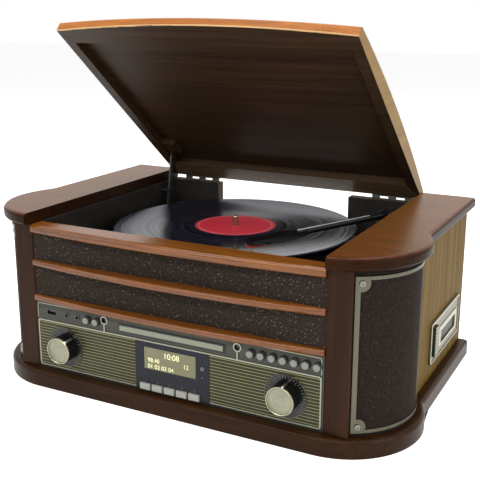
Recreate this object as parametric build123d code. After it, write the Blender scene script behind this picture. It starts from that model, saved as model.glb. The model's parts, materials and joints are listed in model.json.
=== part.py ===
from build123d import *
import math
import os

os.makedirs("parts", exist_ok=True)

# ---------------------------------------------------------------------------
# Driving sizes, millimetres and degrees. X runs to the right, Y to the back
# and Z up. The origin is the middle of the plinth's bottom face.
# ---------------------------------------------------------------------------
RECORD_RADIUS = 150.75
RECORD_THICKNESS = 2.0
LABEL_RADIUS = 50.0
RECORD_FRONT_GAP = 19.75
RECORD_REAR_GAP = 6.25
DISC_RADIUS = 60.5

CASE_DEPTH = 2 * RECORD_RADIUS + RECORD_FRONT_GAP + RECORD_REAR_GAP
PLINTH_OVERHANG = 11.5
PLINTH_REAR_OVERHANG = 2.0
PLINTH_DEPTH = CASE_DEPTH + PLINTH_OVERHANG + PLINTH_REAR_OVERHANG
FACE_Y = PLINTH_OVERHANG - PLINTH_DEPTH / 2
REAR_Y = FACE_Y + CASE_DEPTH
RECORD_X = -6.5
RECORD_Y = FACE_Y + RECORD_FRONT_GAP + RECORD_RADIUS

ARM_SPACE = 33.85
FRONT_HALF = RECORD_RADIUS + ARM_SPACE
POST_WIDTH = 26.9
POST_DEPTH = 26.0

GRILLE_RADIUS = 78.0
GRILLE_THICKNESS = 2.5
LOBE_X = FRONT_HALF - 7.1
LOBE_Y = FACE_Y + GRILLE_RADIUS - 0.5
LOBE_BLEND_RADIUS = 30.0
PLINTH_LOBE_RADIUS = GRILLE_RADIUS + 11.0
BOARD_LOBE_RADIUS = GRILLE_RADIUS + 10.0
GRILLE_START_ANGLE = -math.degrees(math.acos((FRONT_HALF + POST_WIDTH - LOBE_X) / GRILLE_RADIUS))
GRILLE_END_ANGLE = 24.0
STRIP_END_ANGLE = 33.0

SIDE_X = LOBE_X + GRILLE_RADIUS - 11.0
WALL_TOP = 197.8
WALL_THICKNESS = 12.0
BOARD_THICKNESS = 14.0
BOARD_SIDE_X = SIDE_X + 9.5
BOARD_INNER_X = FRONT_HALF + 2.0
BOARD_ROUND = 5.0
BOARD_TOP = WALL_TOP + BOARD_THICKNESS

PLINTH_HEIGHT = 20.5
PLINTH_SIDE_X = SIDE_X + 12.0
PLINTH_ROUND = 5.0
PLINTH_OPENING_X = PLINTH_SIDE_X - 31.5
BOTTOM_BOARD_THICKNESS = 5.0
FOOT_RADIUS = 12.0
FOOT_THICKNESS = 2.5

CONTROL_Z = 92.4
LOWER_MOULDING_LOW = CONTROL_Z + 12.1
LOWER_MOULDING_BOW = 9.5
MIDDLE_MOULDING_LOW = LOWER_MOULDING_LOW + 43.0
MIDDLE_MOULDING_BOW = 12.5
MOULDING_HEIGHT = 8.0
MOULDING_END = 2.0
RAIL_DEPTH = 17.0
RAIL_HEIGHT = 10.3
RAIL_END = 3.0
RAIL_BOW = 9.5
CLOTH_FRONT = 2.0
CLOTH_THICKNESS = 3.0

FASCIA_FRONT = 1.0
FASCIA_THICKNESS = 3.0
FASCIA_BACK = FASCIA_FRONT + FASCIA_THICKNESS
LOWER_PANEL_LOW = PLINTH_HEIGHT + 3.5
LOWER_PANEL_HIGH = CONTROL_Z - 9.9
LOWER_PANEL_HALF = FRONT_HALF - 2.2
BORDER_WIDTH = 1.6
BORDER_HEIGHT = 1.0
KNOB_X = LOWER_PANEL_HALF - 39.9
KNOB_Z = 53.0
KNOB_RADIUS = 16.0
KNOB_FACE = -16.0
KNOB_SHAFT_RADIUS = 3.0
DIAL_RADIUS = KNOB_RADIUS + 8.5
RUNNING_GAP = 0.05

DISPLAY_LEFT = -43.6
DISPLAY_RIGHT = 52.0
DISPLAY_LOW = LOWER_PANEL_LOW - 1.4
DISPLAY_HIGH = LOWER_PANEL_HIGH - 1.5
LCD_LEFT = DISPLAY_LEFT + 11.6
LCD_RIGHT = DISPLAY_RIGHT - 17.0
LCD_LOW = DISPLAY_HIGH - 32.0
LCD_HIGH = DISPLAY_HIGH - 6.0
KEY_COUNT = 5
KEY_GAP = 2.5
KEY_MIDDLE_X = (LCD_LEFT + LCD_RIGHT) / 2
KEY_ROW_WIDTH = LCD_RIGHT - LCD_LEFT + 12.5
KEY_PITCH = KEY_ROW_WIDTH / KEY_COUNT
KEY_WIDTH = KEY_PITCH - KEY_GAP
KEY_HEIGHT = 7.4
KEY_Z = DISPLAY_LOW + 5.2
KEY_FACE = -3.4
CONTROL_GAP = 0.25
FLANGE_MARGIN = 0.8

TRAY_LEFT = -DISC_RADIUS - 4.0
TRAY_RIGHT = DISC_RADIUS + 8.5
TRAY_LOW = CONTROL_Z - 4.5
TRAY_HIGH = CONTROL_Z + 2.0
TRAY_DEPTH = 2 * DISC_RADIUS + 15.0
TRAY_GAP = 0.6
KEYHOLE_X = TRAY_RIGHT + 17.0
KEYHOLE_Z = CONTROL_Z + 3.6
KEYHOLE_RADIUS = 5.0
KEYHOLE_BORE = 3.5
BUTTON_RADIUS = 4.1
BUTTON_FACE = -4.0
LEFT_BUTTON_SHARES = (0.2434, 0.1116)
JACK_SHARES = (0.5497, 0.3935)
USB_SHARE = 0.7769
RIGHT_BUTTON_COUNT = 7
RIGHT_BUTTON_START = KEYHOLE_X + 16.0
RIGHT_BUTTON_PITCH = (FRONT_HALF - 7.0 - RIGHT_BUTTON_START) / (RIGHT_BUTTON_COUNT - 1)
USB_WIDTH = 12.6
USB_HEIGHT = 5.2
JACK_RADIUS = 3.6
JACK_BORE = 1.85

RECORD_TOP = WALL_TOP - 17.8
SPINDLE_RADIUS = 3.55
SPINDLE_TOP = RECORD_TOP + 13.0
MAT_THICKNESS = 2.5
PLATTER_RADIUS = RECORD_RADIUS - 11.75
PLATTER_TOP = RECORD_TOP - RECORD_THICKNESS - MAT_THICKNESS
PLATTER_THICKNESS = 5.5
BELT_RING_RADIUS = 72.0
BELT_LOW = RECORD_TOP - 22.0
BELT_HEIGHT = 5.0
BELT_THICKNESS = 0.8
BELT_GAP = 0.15
PULLEY_RADIUS = 7.0
MOTOR_OFFSET = BELT_RING_RADIUS + PULLEY_RADIUS + 19.0
MOTOR_ANGLE = 150.0
DECK_TOP = RECORD_TOP - 39.0
DECK_THICKNESS = 3.0
GAP_LEFT = RECORD_X - 103.5
GAP_RIGHT = RECORD_X + 95.5
GAP_LOW = RECORD_TOP - 15.0

PIVOT_X = RECORD_X + RECORD_RADIUS + 13.75
PIVOT_Y = RECORD_Y + 95.5
ARM_Z = RECORD_TOP + 11.0
ARM_RADIUS = 3.5
WEIGHT_RADIUS = 5.5
WEIGHT_NEAR = 8.0
WEIGHT_LENGTH = 10.0
ARM_LENGTH = 148.0
ARM_HEADING = -115.0
SHELL_HEADING = -128.0
SHELL_LENGTH = 66.0
SHELL_WIDTH = 17.0
ARM_PARK_SWING = 24.0
ARM_REST_REACH = ARM_LENGTH - 22.0

HINGE_PIN_Y = REAR_Y + 3.0
HINGE_PIN_Z = WALL_TOP + 5.2
HINGE_LENGTH = 56.0
HINGE_KNUCKLES = 5
LID_OPEN_ANGLE = 39.4
LID_HALF = BOARD_INNER_X - 0.8
LID_LOW = WALL_TOP + 0.5
LID_FRONT_Y = FACE_Y - 10.5
LID_REAR_Y = HINGE_PIN_Y - 6.0
LID_BOW = 13.0
LID_EDGE = 11.0
LID_CROWN = 21.0
LID_RIM = 12.8
LID_RECESS_HALF = LID_HALF - LID_RIM
LID_RECESS_DEPTH = 10.0
LID_TOP_ROUND = 3.5
LID_LOW_ROUND = 1.5
HINGE_X = LID_HALF - 40.8
STAY_S = 57.7
STAY_H = 0.5
STAY_LENGTH = 76.0
STAY_GUIDE_Y = HINGE_PIN_Y - 53.5
STAY_GUIDE_Z = WALL_TOP - 8.8
STAY_X = 1.5 - LID_RECESS_HALF

BEZEL_REAR = REAR_Y - 25.5
BEZEL_FRONT = BEZEL_REAR - 128.0
BEZEL_LOW = 40.0
BEZEL_HIGH = 91.0
BEZEL_THICKNESS = 3.5
SLOT_FRONT = BEZEL_FRONT + 41.0
SLOT_REAR = SLOT_FRONT + 67.0
SLOT_LOW = BEZEL_LOW + 14.0
SLOT_HIGH = SLOT_LOW + 16.0
EJECT_FRONT = BEZEL_FRONT + 6.5
EJECT_REAR = EJECT_FRONT + 13.0
EJECT_LOW = BEZEL_LOW + 9.0
EJECT_HIGH = BEZEL_HIGH - 6.0


# ---------------------------------------------------------------------------
# Small helpers
# ---------------------------------------------------------------------------
def block(x_low, x_high, y_low, y_high, z_low, z_high):
    """A box given by its limits."""
    size = (x_high - x_low, y_high - y_low, z_high - z_low)
    middle = ((x_low + x_high) / 2, (y_low + y_high) / 2, (z_low + z_high) / 2)
    return Pos(*middle) * Box(*size)


def disc(x, y, z_low, z_high, radius):
    """An upright cylinder."""
    return Pos(x, y, (z_low + z_high) / 2) * Cylinder(radius, z_high - z_low)


def rod_x(x_low, x_high, y, z, radius):
    """A cylinder along X."""
    return Pos((x_low + x_high) / 2, y, z) * Rot(0, 90, 0) * Cylinder(radius, x_high - x_low)


def rod_y(x, y_low, y_high, z, radius):
    """A cylinder along Y."""
    return Pos(x, (y_low + y_high) / 2, z) * Rot(90, 0, 0) * Cylinder(radius, y_high - y_low)


def prism(edges, z_low, z_high):
    """Extrude a closed chain of plan edges between two heights."""
    face = Face(Wire(edges))
    return Pos(0, 0, z_low) * extrude(face, z_high - z_low, dir=(0, 0, 1))


def mirrored(shape):
    """The same piece on the other side of the middle plane."""
    return mirror(shape, Plane.YZ)


def with_mirror(shape):
    """A left and right pair as separate solids of one node."""
    return Compound(list(shape.solids()) + list(mirrored(shape).solids()))


def group(shapes):
    """Separate solids that share one node."""
    solids = []
    for shape in shapes:
        solids.extend(shape.solids())
    return Compound(solids)


def on_lobe(radius, angle):
    """A plan point on a circle about the right-hand lobe's centre."""
    turn = math.radians(angle)
    return (LOBE_X + radius * math.cos(turn), LOBE_Y + radius * math.sin(turn))


def lobe_blend(radius, side_x):
    """Tangent points of the concave step between a lobe and a straight side."""
    centre_x = side_x + LOBE_BLEND_RADIUS
    reach = radius + LOBE_BLEND_RADIUS
    centre_y = LOBE_Y + math.sqrt(reach ** 2 - (centre_x - LOBE_X) ** 2)
    angle = math.atan2(centre_y - LOBE_Y, centre_x - LOBE_X)
    start = on_lobe(radius, math.degrees(angle))
    middle_angle = (angle + math.pi + math.pi) / 2
    middle = (
        centre_x + LOBE_BLEND_RADIUS * math.cos(middle_angle),
        centre_y + LOBE_BLEND_RADIUS * math.sin(middle_angle),
    )
    return math.degrees(angle), start, middle, (side_x, centre_y)


def lobed_edges(radius, side_x, rear_y, inner_x):
    """Right half of a lobed outline, from inner_x at the front to inner_x at the rear."""
    blend_angle, start, middle, end = lobe_blend(radius, side_x)
    if inner_x < LOBE_X:
        first = (LOBE_X, LOBE_Y - radius)
        front = [Line((inner_x, LOBE_Y - radius), first)]
        start_angle = -90.0
    else:
        start_angle = -math.degrees(math.acos((inner_x - LOBE_X) / radius))
        first = on_lobe(radius, start_angle)
        front = []
    half_way = on_lobe(radius, (start_angle + blend_angle) / 2)
    bottom_left = (inner_x, front[0].position_at(0).Y if front else first[1])
    return front + [
        ThreePointArc(first, half_way, start),
        ThreePointArc(start, middle, end),
        Line(end, (side_x, rear_y)),
        Line((side_x, rear_y), (inner_x, rear_y)),
        Line((inner_x, rear_y), bottom_left),
    ]


def bowed_bar(end_front, bow, rear, z_low, z_high):
    """A bar between the front posts whose front face bulges forward."""
    left = (-FRONT_HALF, FACE_Y - end_front)
    right = (FRONT_HALF, FACE_Y - end_front)
    edges = [
        ThreePointArc(left, (0, FACE_Y - end_front - bow), right),
        Line(right, (FRONT_HALF, FACE_Y + rear)),
        Line((FRONT_HALF, FACE_Y + rear), (-FRONT_HALF, FACE_Y + rear)),
        Line((-FRONT_HALF, FACE_Y + rear), left),
    ]
    return prism(edges, z_low, z_high)


def round_front(bar, radius):
    """Round the two long bowed edges of a bar."""
    arcs = bar.edges().filter_by(GeomType.CIRCLE)
    return fillet(arcs, radius)


def lobe_shell(inner, outer, start_angle, end_angle, z_low, z_high):
    """A curved wall about the lobe's centre."""
    middle_angle = (start_angle + end_angle) / 2
    edges = [
        ThreePointArc(on_lobe(outer, start_angle), on_lobe(outer, middle_angle), on_lobe(outer, end_angle)),
        Line(on_lobe(outer, end_angle), on_lobe(inner, end_angle)),
        ThreePointArc(on_lobe(inner, end_angle), on_lobe(inner, middle_angle), on_lobe(inner, start_angle)),
        Line(on_lobe(inner, start_angle), on_lobe(outer, start_angle)),
    ]
    return prism(edges, z_low, z_high)


def radial_rod(angle, z, start, end, radius):
    """A cylinder that points out of the lobe's centre."""
    middle = on_lobe((start + end) / 2, angle)
    return Pos(*middle, z) * Rot(0, 0, angle) * Rot(0, 90, 0) * Cylinder(radius, end - start)


def cross_head_screw(head_radius, head_height, shank_radius, shank_length):
    """A pan-head screw standing on z = 0, shank down, with a cross recess."""
    head = Pos(0, 0, head_height / 2) * Cylinder(head_radius, head_height)
    head = fillet(head.edges().group_by(Axis.Z)[-1], head_height * 0.45)
    slot = Pos(0, 0, head_height) * Box(head_radius * 1.2, 0.9, head_height)
    head = head - slot - Rot(0, 0, 90) * slot
    shank = Pos(0, 0, -shank_length / 2) * Cylinder(shank_radius, shank_length)
    return head + shank


def screw_hole(head_radius, head_height, shank_radius, shank_length):
    """The hole that a cross-head screw fills, with its head let in."""
    head = Pos(0, 0, head_height / 2) * Cylinder(head_radius, head_height)
    return head + Pos(0, 0, -shank_length / 2) * Cylinder(shank_radius, shank_length)


def arm_point(heading, reach, x=None, y=None):
    """A plan point at a heading and distance from the tonearm's pivot."""
    turn = math.radians(heading)
    start_x = PIVOT_X if x is None else x
    start_y = PIVOT_Y if y is None else y
    return (start_x + reach * math.cos(turn), start_y + reach * math.sin(turn))


pieces = {}

# ---------------------------------------------------------------------------
# Wooden case
# ---------------------------------------------------------------------------
half_plinth = prism(
    lobed_edges(PLINTH_LOBE_RADIUS, PLINTH_SIDE_X, PLINTH_DEPTH / 2, 0.0), 0, PLINTH_HEIGHT
)
plinth = half_plinth + mirrored(half_plinth)
plinth = fillet(plinth.edges().group_by(Axis.Z)[-1], PLINTH_ROUND)
PLINTH_OPENING_FRONT = FACE_Y + POST_DEPTH + 2.0
PLINTH_OPENING_REAR = REAR_Y - WALL_THICKNESS - 9.0
opening = (-PLINTH_OPENING_X, PLINTH_OPENING_X, PLINTH_OPENING_FRONT, PLINTH_OPENING_REAR)
plinth -= block(*opening, -1, PLINTH_HEIGHT + 1)
foot_places = [
    (side * x, y)
    for side in (-1, 1)
    for x, y in ((LOBE_X + 22.5, FACE_Y + 8.0), (PLINTH_SIDE_X - 16.5, REAR_Y - 40.0))
]
feet = [disc(x, y, 0, FOOT_THICKNESS, FOOT_RADIUS) for x, y in foot_places]
for foot in feet:
    plinth -= foot
pieces["rubber_feet"] = group(feet)
bottom_board = block(*opening, 0, BOTTOM_BOARD_THICKNESS)

post = block(FRONT_HALF, FRONT_HALF + POST_WIDTH, FACE_Y, FACE_Y + POST_DEPTH, PLINTH_HEIGHT, WALL_TOP)
post = fillet(post.edges().filter_by(Axis.Z).group_by(Axis.Y)[0], 2.0)
pieces["front_posts"] = with_mirror(post)

GROOVE_WIDTH = 5.0
GROOVE_FRONT = LOBE_Y + 49.5
GROOVE_REAR = GROOVE_FRONT + GROOVE_WIDTH
GROOVE_DEPTH = 3.0
strip_end = on_lobe(GRILLE_RADIUS, STRIP_END_ANGLE)
strip_start = on_lobe(GRILLE_RADIUS, GRILLE_END_ANGLE)
strip_middle = on_lobe(GRILLE_RADIUS, (STRIP_END_ANGLE + GRILLE_END_ANGLE) / 2)
strip_inner = on_lobe(GRILLE_RADIUS - 6.0, GRILLE_END_ANGLE)
panel_inner_x = SIDE_X - WALL_THICKNESS
side_panel = prism(
    [
        Line((SIDE_X, REAR_Y), (SIDE_X, GROOVE_REAR)),
        Line((SIDE_X, GROOVE_REAR), (SIDE_X - GROOVE_DEPTH, GROOVE_REAR)),
        Line((SIDE_X - GROOVE_DEPTH, GROOVE_REAR), (SIDE_X - GROOVE_DEPTH, GROOVE_FRONT)),
        Line((SIDE_X - GROOVE_DEPTH, GROOVE_FRONT), strip_end),
        ThreePointArc(strip_end, strip_middle, strip_start),
        Line(strip_start, strip_inner),
        Line(strip_inner, (panel_inner_x, strip_inner[1] + 5.0)),
        Line((panel_inner_x, strip_inner[1] + 5.0), (panel_inner_x, REAR_Y)),
        Line((panel_inner_x, REAR_Y), (SIDE_X, REAR_Y)),
    ],
    PLINTH_HEIGHT,
    WALL_TOP,
)
cassette_window = block(
    panel_inner_x - 1, SIDE_X + 1,
    BEZEL_FRONT + 4.0, BEZEL_REAR - 3.0,
    BEZEL_LOW + 4.0, BEZEL_HIGH - 4.5,
)
right_side_panel = side_panel - cassette_window

half_board = prism(
    lobed_edges(BOARD_LOBE_RADIUS, BOARD_SIDE_X, REAR_Y, BOARD_INNER_X), WALL_TOP, BOARD_TOP
)


def outer_edges(board, level):
    """Top or bottom edges of a board, without the straight inner one."""
    edges = board.edges().group_by(Axis.Z)[level]
    return edges.filter_by(lambda edge: abs(edge.center().X) > BOARD_INNER_X + 1.0)


half_board = fillet(outer_edges(half_board, -1), BOARD_ROUND)
half_board = fillet(outer_edges(half_board, 0), BOARD_ROUND - 1.0)
pieces["top_boards"] = with_mirror(half_board)

rear_panel = block(
    -panel_inner_x, panel_inner_x, REAR_Y - WALL_THICKNESS, REAR_Y, PLINTH_HEIGHT, WALL_TOP
)
record_gap = block(GAP_LEFT, GAP_RIGHT, REAR_Y - WALL_THICKNESS - 8.0, REAR_Y + 1, GAP_LOW, WALL_TOP + 1)
rear_panel -= record_gap
VENT_COUNT = 9
VENT_PITCH = 9.0
for index in range(VENT_COUNT):
    vent_x = 95.0 + index * VENT_PITCH
    rear_panel -= block(vent_x, vent_x + 4.0, REAR_Y - WALL_THICKNESS - 1, REAR_Y + 1, 95.0, 135.0)

# ---------------------------------------------------------------------------
# Front rails and cloth strips
# ---------------------------------------------------------------------------
top_rail = bowed_bar(RAIL_END, RAIL_BOW, RAIL_DEPTH, WALL_TOP - RAIL_HEIGHT, WALL_TOP)
top_rail = round_front(top_rail, 4.4)
middle_moulding = bowed_bar(
    MOULDING_END, MIDDLE_MOULDING_BOW, CLOTH_FRONT + CLOTH_THICKNESS,
    MIDDLE_MOULDING_LOW, MIDDLE_MOULDING_LOW + MOULDING_HEIGHT,
)
middle_moulding = round_front(middle_moulding, 3.4)
lower_moulding = bowed_bar(
    MOULDING_END, LOWER_MOULDING_BOW, CLOTH_FRONT + CLOTH_THICKNESS,
    LOWER_MOULDING_LOW, LOWER_MOULDING_LOW + MOULDING_HEIGHT,
)
lower_moulding = round_front(lower_moulding, 3.4)
pieces["front_rails"] = group([top_rail, middle_moulding, lower_moulding])

cloth_y = (FACE_Y + CLOTH_FRONT, FACE_Y + CLOTH_FRONT + CLOTH_THICKNESS)
upper_cloth = block(
    -FRONT_HALF, FRONT_HALF, *cloth_y, MIDDLE_MOULDING_LOW + MOULDING_HEIGHT, WALL_TOP - RAIL_HEIGHT
)
lower_cloth = block(
    -FRONT_HALF, FRONT_HALF, *cloth_y, LOWER_MOULDING_LOW + MOULDING_HEIGHT, MIDDLE_MOULDING_LOW
)
pieces["cloth_strips"] = group([upper_cloth, lower_cloth])

# ---------------------------------------------------------------------------
# Speaker corners: grille, trim frame, driver
# ---------------------------------------------------------------------------
DRIVER_ANGLE = -20.0
DRIVER_Z = (PLINTH_HEIGHT + WALL_TOP) / 2
DRIVER_SEAT = 56.0
DRIVER_RADIUS = 43.0
inner_radius = GRILLE_RADIUS - GRILLE_THICKNESS
grille = lobe_shell(
    inner_radius, GRILLE_RADIUS, GRILLE_START_ANGLE, GRILLE_END_ANGLE, PLINTH_HEIGHT, WALL_TOP
)
driver_ring = radial_rod(DRIVER_ANGLE, DRIVER_Z, DRIVER_SEAT, GRILLE_RADIUS + 8.0, DRIVER_RADIUS)
driver_ring -= radial_rod(DRIVER_ANGLE, DRIVER_Z, DRIVER_SEAT - 1.0, GRILLE_RADIUS + 9.0, DRIVER_RADIUS - 3.0)
driver_ring &= disc(LOBE_X, LOBE_Y, PLINTH_HEIGHT, WALL_TOP, inner_radius + 0.5)
grille = grille + driver_ring

driver = radial_rod(DRIVER_ANGLE, DRIVER_Z, DRIVER_SEAT - 2.5, DRIVER_SEAT, DRIVER_RADIUS)
cone_middle = Pos(*on_lobe(DRIVER_SEAT - 13.0, DRIVER_ANGLE), DRIVER_Z)
cone_place = cone_middle * Rot(0, 0, DRIVER_ANGLE) * Rot(0, 90, 0)
driver += cone_place * Cone(22.0, 39.0, 22.0)
driver -= cone_place * Pos(0, 0, 2.5) * Cone(16.0, 36.5, 22.0)
driver += radial_rod(DRIVER_ANGLE, DRIVER_Z, DRIVER_SEAT - 38.0, DRIVER_SEAT - 23.0, 25.0)
driver += radial_rod(DRIVER_ANGLE, DRIVER_Z, DRIVER_SEAT - 24.0, DRIVER_SEAT - 14.0, 10.0)
pieces["speaker_drivers"] = with_mirror(driver)

TRIM_LIFT = 1.6
TRIM_TOP = WALL_TOP - 6.8
TRIM_LOW = PLINTH_HEIGHT + 4.0
TRIM_BAND = 3.6
TRIM_SIDE_ANGLE = 3.7
TAB_RADIUS = 8.6
TAB_INSET = 7.0
TAB_ANGLE = GRILLE_START_ANGLE + math.degrees(TAB_INSET / GRILLE_RADIUS)
trim_outer = GRILLE_RADIUS + TRIM_LIFT
trim_start = GRILLE_START_ANGLE + 0.3
trim_end = GRILLE_END_ANGLE - 0.3
trim = lobe_shell(GRILLE_RADIUS, trim_outer, trim_start, trim_end, TRIM_LOW, TRIM_TOP)
trim_window = lobe_shell(
    GRILLE_RADIUS - 2.0, trim_outer + 2.0,
    trim_start + TRIM_SIDE_ANGLE, trim_end - 0.7 * TRIM_SIDE_ANGLE,
    TRIM_LOW + TRIM_BAND, TRIM_TOP - TRIM_BAND,
)
trim -= trim_window
tab_heights = (TRIM_LOW + TAB_INSET, TRIM_TOP - TAB_INSET)
for height in tab_heights:
    tab = radial_rod(TAB_ANGLE, height, GRILLE_RADIUS - 3.0, trim_outer + 3.0, TAB_RADIUS)
    tab &= lobe_shell(GRILLE_RADIUS, trim_outer, trim_start, trim_end, TRIM_LOW, TRIM_TOP)
    trim += tab

screws = []
TRIM_SCREW = (3.3, 1.8, 1.5, 9.0)
for height in tab_heights:
    place = Pos(*on_lobe(trim_outer, TAB_ANGLE), height) * Rot(0, 0, TAB_ANGLE) * Rot(0, 90, 0)
    screw = place * cross_head_screw(*TRIM_SCREW)
    hole = place * screw_hole(*TRIM_SCREW)
    trim -= hole
    grille -= hole
    screws.append(screw)
    screws.append(mirrored(screw))
grille -= post
pieces["speaker_grilles"] = with_mirror(grille)
pieces["grille_trims"] = with_mirror(trim)

# ---------------------------------------------------------------------------
# Fascia, dials, display
# ---------------------------------------------------------------------------
def panel(x_low, x_high, front, back, z_low, z_high, corner):
    """An upright plate with rounded corners, front and back measured from the face plane."""
    plate = block(x_low, x_high, FACE_Y + front, FACE_Y + back, z_low, z_high)
    return fillet(plate.edges().filter_by(Axis.Y), corner)


fascia = block(
    -FRONT_HALF, FRONT_HALF, FACE_Y + FASCIA_FRONT, FACE_Y + FASCIA_BACK, PLINTH_HEIGHT, LOWER_MOULDING_LOW
)
border_front = FASCIA_FRONT - BORDER_HEIGHT
border = panel(
    -LOWER_PANEL_HALF, LOWER_PANEL_HALF, border_front, FASCIA_FRONT, LOWER_PANEL_LOW, LOWER_PANEL_HIGH, 3.0
)
border -= panel(
    -LOWER_PANEL_HALF + BORDER_WIDTH, LOWER_PANEL_HALF - BORDER_WIDTH, border_front - 1, FASCIA_FRONT + 1,
    LOWER_PANEL_LOW + BORDER_WIDTH, LOWER_PANEL_HIGH - BORDER_WIDTH, 2.0,
)
border -= block(DISPLAY_LEFT, DISPLAY_RIGHT, FACE_Y - 3, FACE_Y + 3, DISPLAY_LOW, DISPLAY_HIGH)
fascia += border
strip_high = LOWER_MOULDING_LOW - 1.6
upper_border = panel(
    -LOWER_PANEL_HALF, LOWER_PANEL_HALF, border_front + 0.4, FASCIA_FRONT, LOWER_PANEL_HIGH, strip_high, 3.0
)
upper_border -= panel(
    -LOWER_PANEL_HALF + 0.9, LOWER_PANEL_HALF - 0.9, border_front - 1, FASCIA_FRONT + 1,
    LOWER_PANEL_HIGH - 4.0, strip_high - 0.9, 2.2,
)
fascia += upper_border
for side in (-1, 1):
    keyhole = rod_y(side * KEYHOLE_X, FACE_Y + border_front, FACE_Y + FASCIA_FRONT, KEYHOLE_Z, KEYHOLE_RADIUS)
    keyhole += block(
        side * KEYHOLE_X - 0.8, side * KEYHOLE_X + 0.8,
        FACE_Y + border_front, FACE_Y + FASCIA_FRONT, LOWER_PANEL_HIGH - 0.5, KEYHOLE_Z,
    )
    keyhole -= rod_y(
        side * KEYHOLE_X, FACE_Y + border_front - 1, FACE_Y + FASCIA_FRONT + 1, KEYHOLE_Z, KEYHOLE_BORE
    )
    fascia += keyhole
    fascia -= rod_y(side * KEYHOLE_X, FACE_Y - 2, FACE_Y + FASCIA_FRONT + 1.6, KEYHOLE_Z, KEYHOLE_BORE)
slot_frame = panel(
    TRAY_LEFT - 2.4, TRAY_RIGHT + 2.4, border_front + 0.2, FASCIA_FRONT, TRAY_LOW - 1.6, TRAY_HIGH + 1.6, 1.0
)
fascia += slot_frame
fascia -= block(
    TRAY_LEFT - TRAY_GAP, TRAY_RIGHT + TRAY_GAP, FACE_Y - 3, FACE_Y + FASCIA_BACK + 1,
    TRAY_LOW - TRAY_GAP, TRAY_HIGH + TRAY_GAP,
)
fascia -= block(LCD_LEFT, LCD_RIGHT, FACE_Y - 3, FACE_Y + FASCIA_BACK + 1, LCD_LOW, LCD_HIGH)

display_bezel = block(
    DISPLAY_LEFT, DISPLAY_RIGHT, FACE_Y + border_front - 0.4, FACE_Y + FASCIA_FRONT, DISPLAY_LOW, DISPLAY_HIGH
)
display_bezel = fillet(display_bezel.edges().filter_by(Axis.Y), 1.2)
display_bezel -= block(LCD_LEFT, LCD_RIGHT, FACE_Y - 3, FACE_Y + 2, LCD_LOW, LCD_HIGH)
pieces["lcd_glass"] = block(
    LCD_LEFT, LCD_RIGHT, FACE_Y + border_front + 0.2, FACE_Y + FASCIA_BACK, LCD_LOW, LCD_HIGH
)

key_x = [KEY_MIDDLE_X + (index - (KEY_COUNT - 1) / 2) * KEY_PITCH for index in range(KEY_COUNT)]
for index, x in enumerate(key_x):
    half_width = KEY_WIDTH / 2
    key = block(
        x - half_width, x + half_width, FACE_Y + KEY_FACE, FACE_Y + FASCIA_BACK + 1.6,
        KEY_Z - KEY_HEIGHT / 2, KEY_Z + KEY_HEIGHT / 2,
    )
    key = fillet(key.edges().group_by(Axis.Y)[0], 0.9)
    key += block(
        x - half_width - FLANGE_MARGIN, x + half_width + FLANGE_MARGIN,
        FACE_Y + FASCIA_BACK + 0.3, FACE_Y + FASCIA_BACK + 1.6,
        KEY_Z - KEY_HEIGHT / 2 - FLANGE_MARGIN, KEY_Z + KEY_HEIGHT / 2 + FLANGE_MARGIN,
    )
    key += rod_y(x, FACE_Y + FASCIA_BACK + 1.0, FACE_Y + 10.5, KEY_Z, 1.6)
    pieces[f"display_key_{index + 1}"] = key
    hole = block(
        x - half_width - CONTROL_GAP, x + half_width + CONTROL_GAP, FACE_Y - 3, FACE_Y + FASCIA_BACK + 0.01,
        KEY_Z - KEY_HEIGHT / 2 - CONTROL_GAP, KEY_Z + KEY_HEIGHT / 2 + CONTROL_GAP,
    )
    fascia -= hole
    display_bezel -= hole


def left_place(share):
    """A place left of the left keyhole, as a share of the way to the fascia's end."""
    return -KEYHOLE_X - share * (FRONT_HALF - KEYHOLE_X)


button_x = {f"left_button_{index + 1}": left_place(share) for index, share in enumerate(LEFT_BUTTON_SHARES)}
for index in range(RIGHT_BUTTON_COUNT):
    button_x[f"right_button_{index + 1}"] = RIGHT_BUTTON_START + index * RIGHT_BUTTON_PITCH
for name, x in button_x.items():
    button = rod_y(x, FACE_Y + BUTTON_FACE, FACE_Y + FASCIA_BACK + 1.6, CONTROL_Z, BUTTON_RADIUS)
    button = fillet(button.edges().group_by(Axis.Y)[0], 0.9)
    button += rod_y(
        x, FACE_Y + FASCIA_BACK + 0.3, FACE_Y + FASCIA_BACK + 1.6, CONTROL_Z, BUTTON_RADIUS + FLANGE_MARGIN
    )
    button += rod_y(x, FACE_Y + FASCIA_BACK + 1.0, FACE_Y + 10.5, CONTROL_Z, 1.6)
    pieces[name] = button
    fascia -= rod_y(x, FACE_Y - 3, FACE_Y + FASCIA_BACK + 1, CONTROL_Z, BUTTON_RADIUS + CONTROL_GAP)

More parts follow.
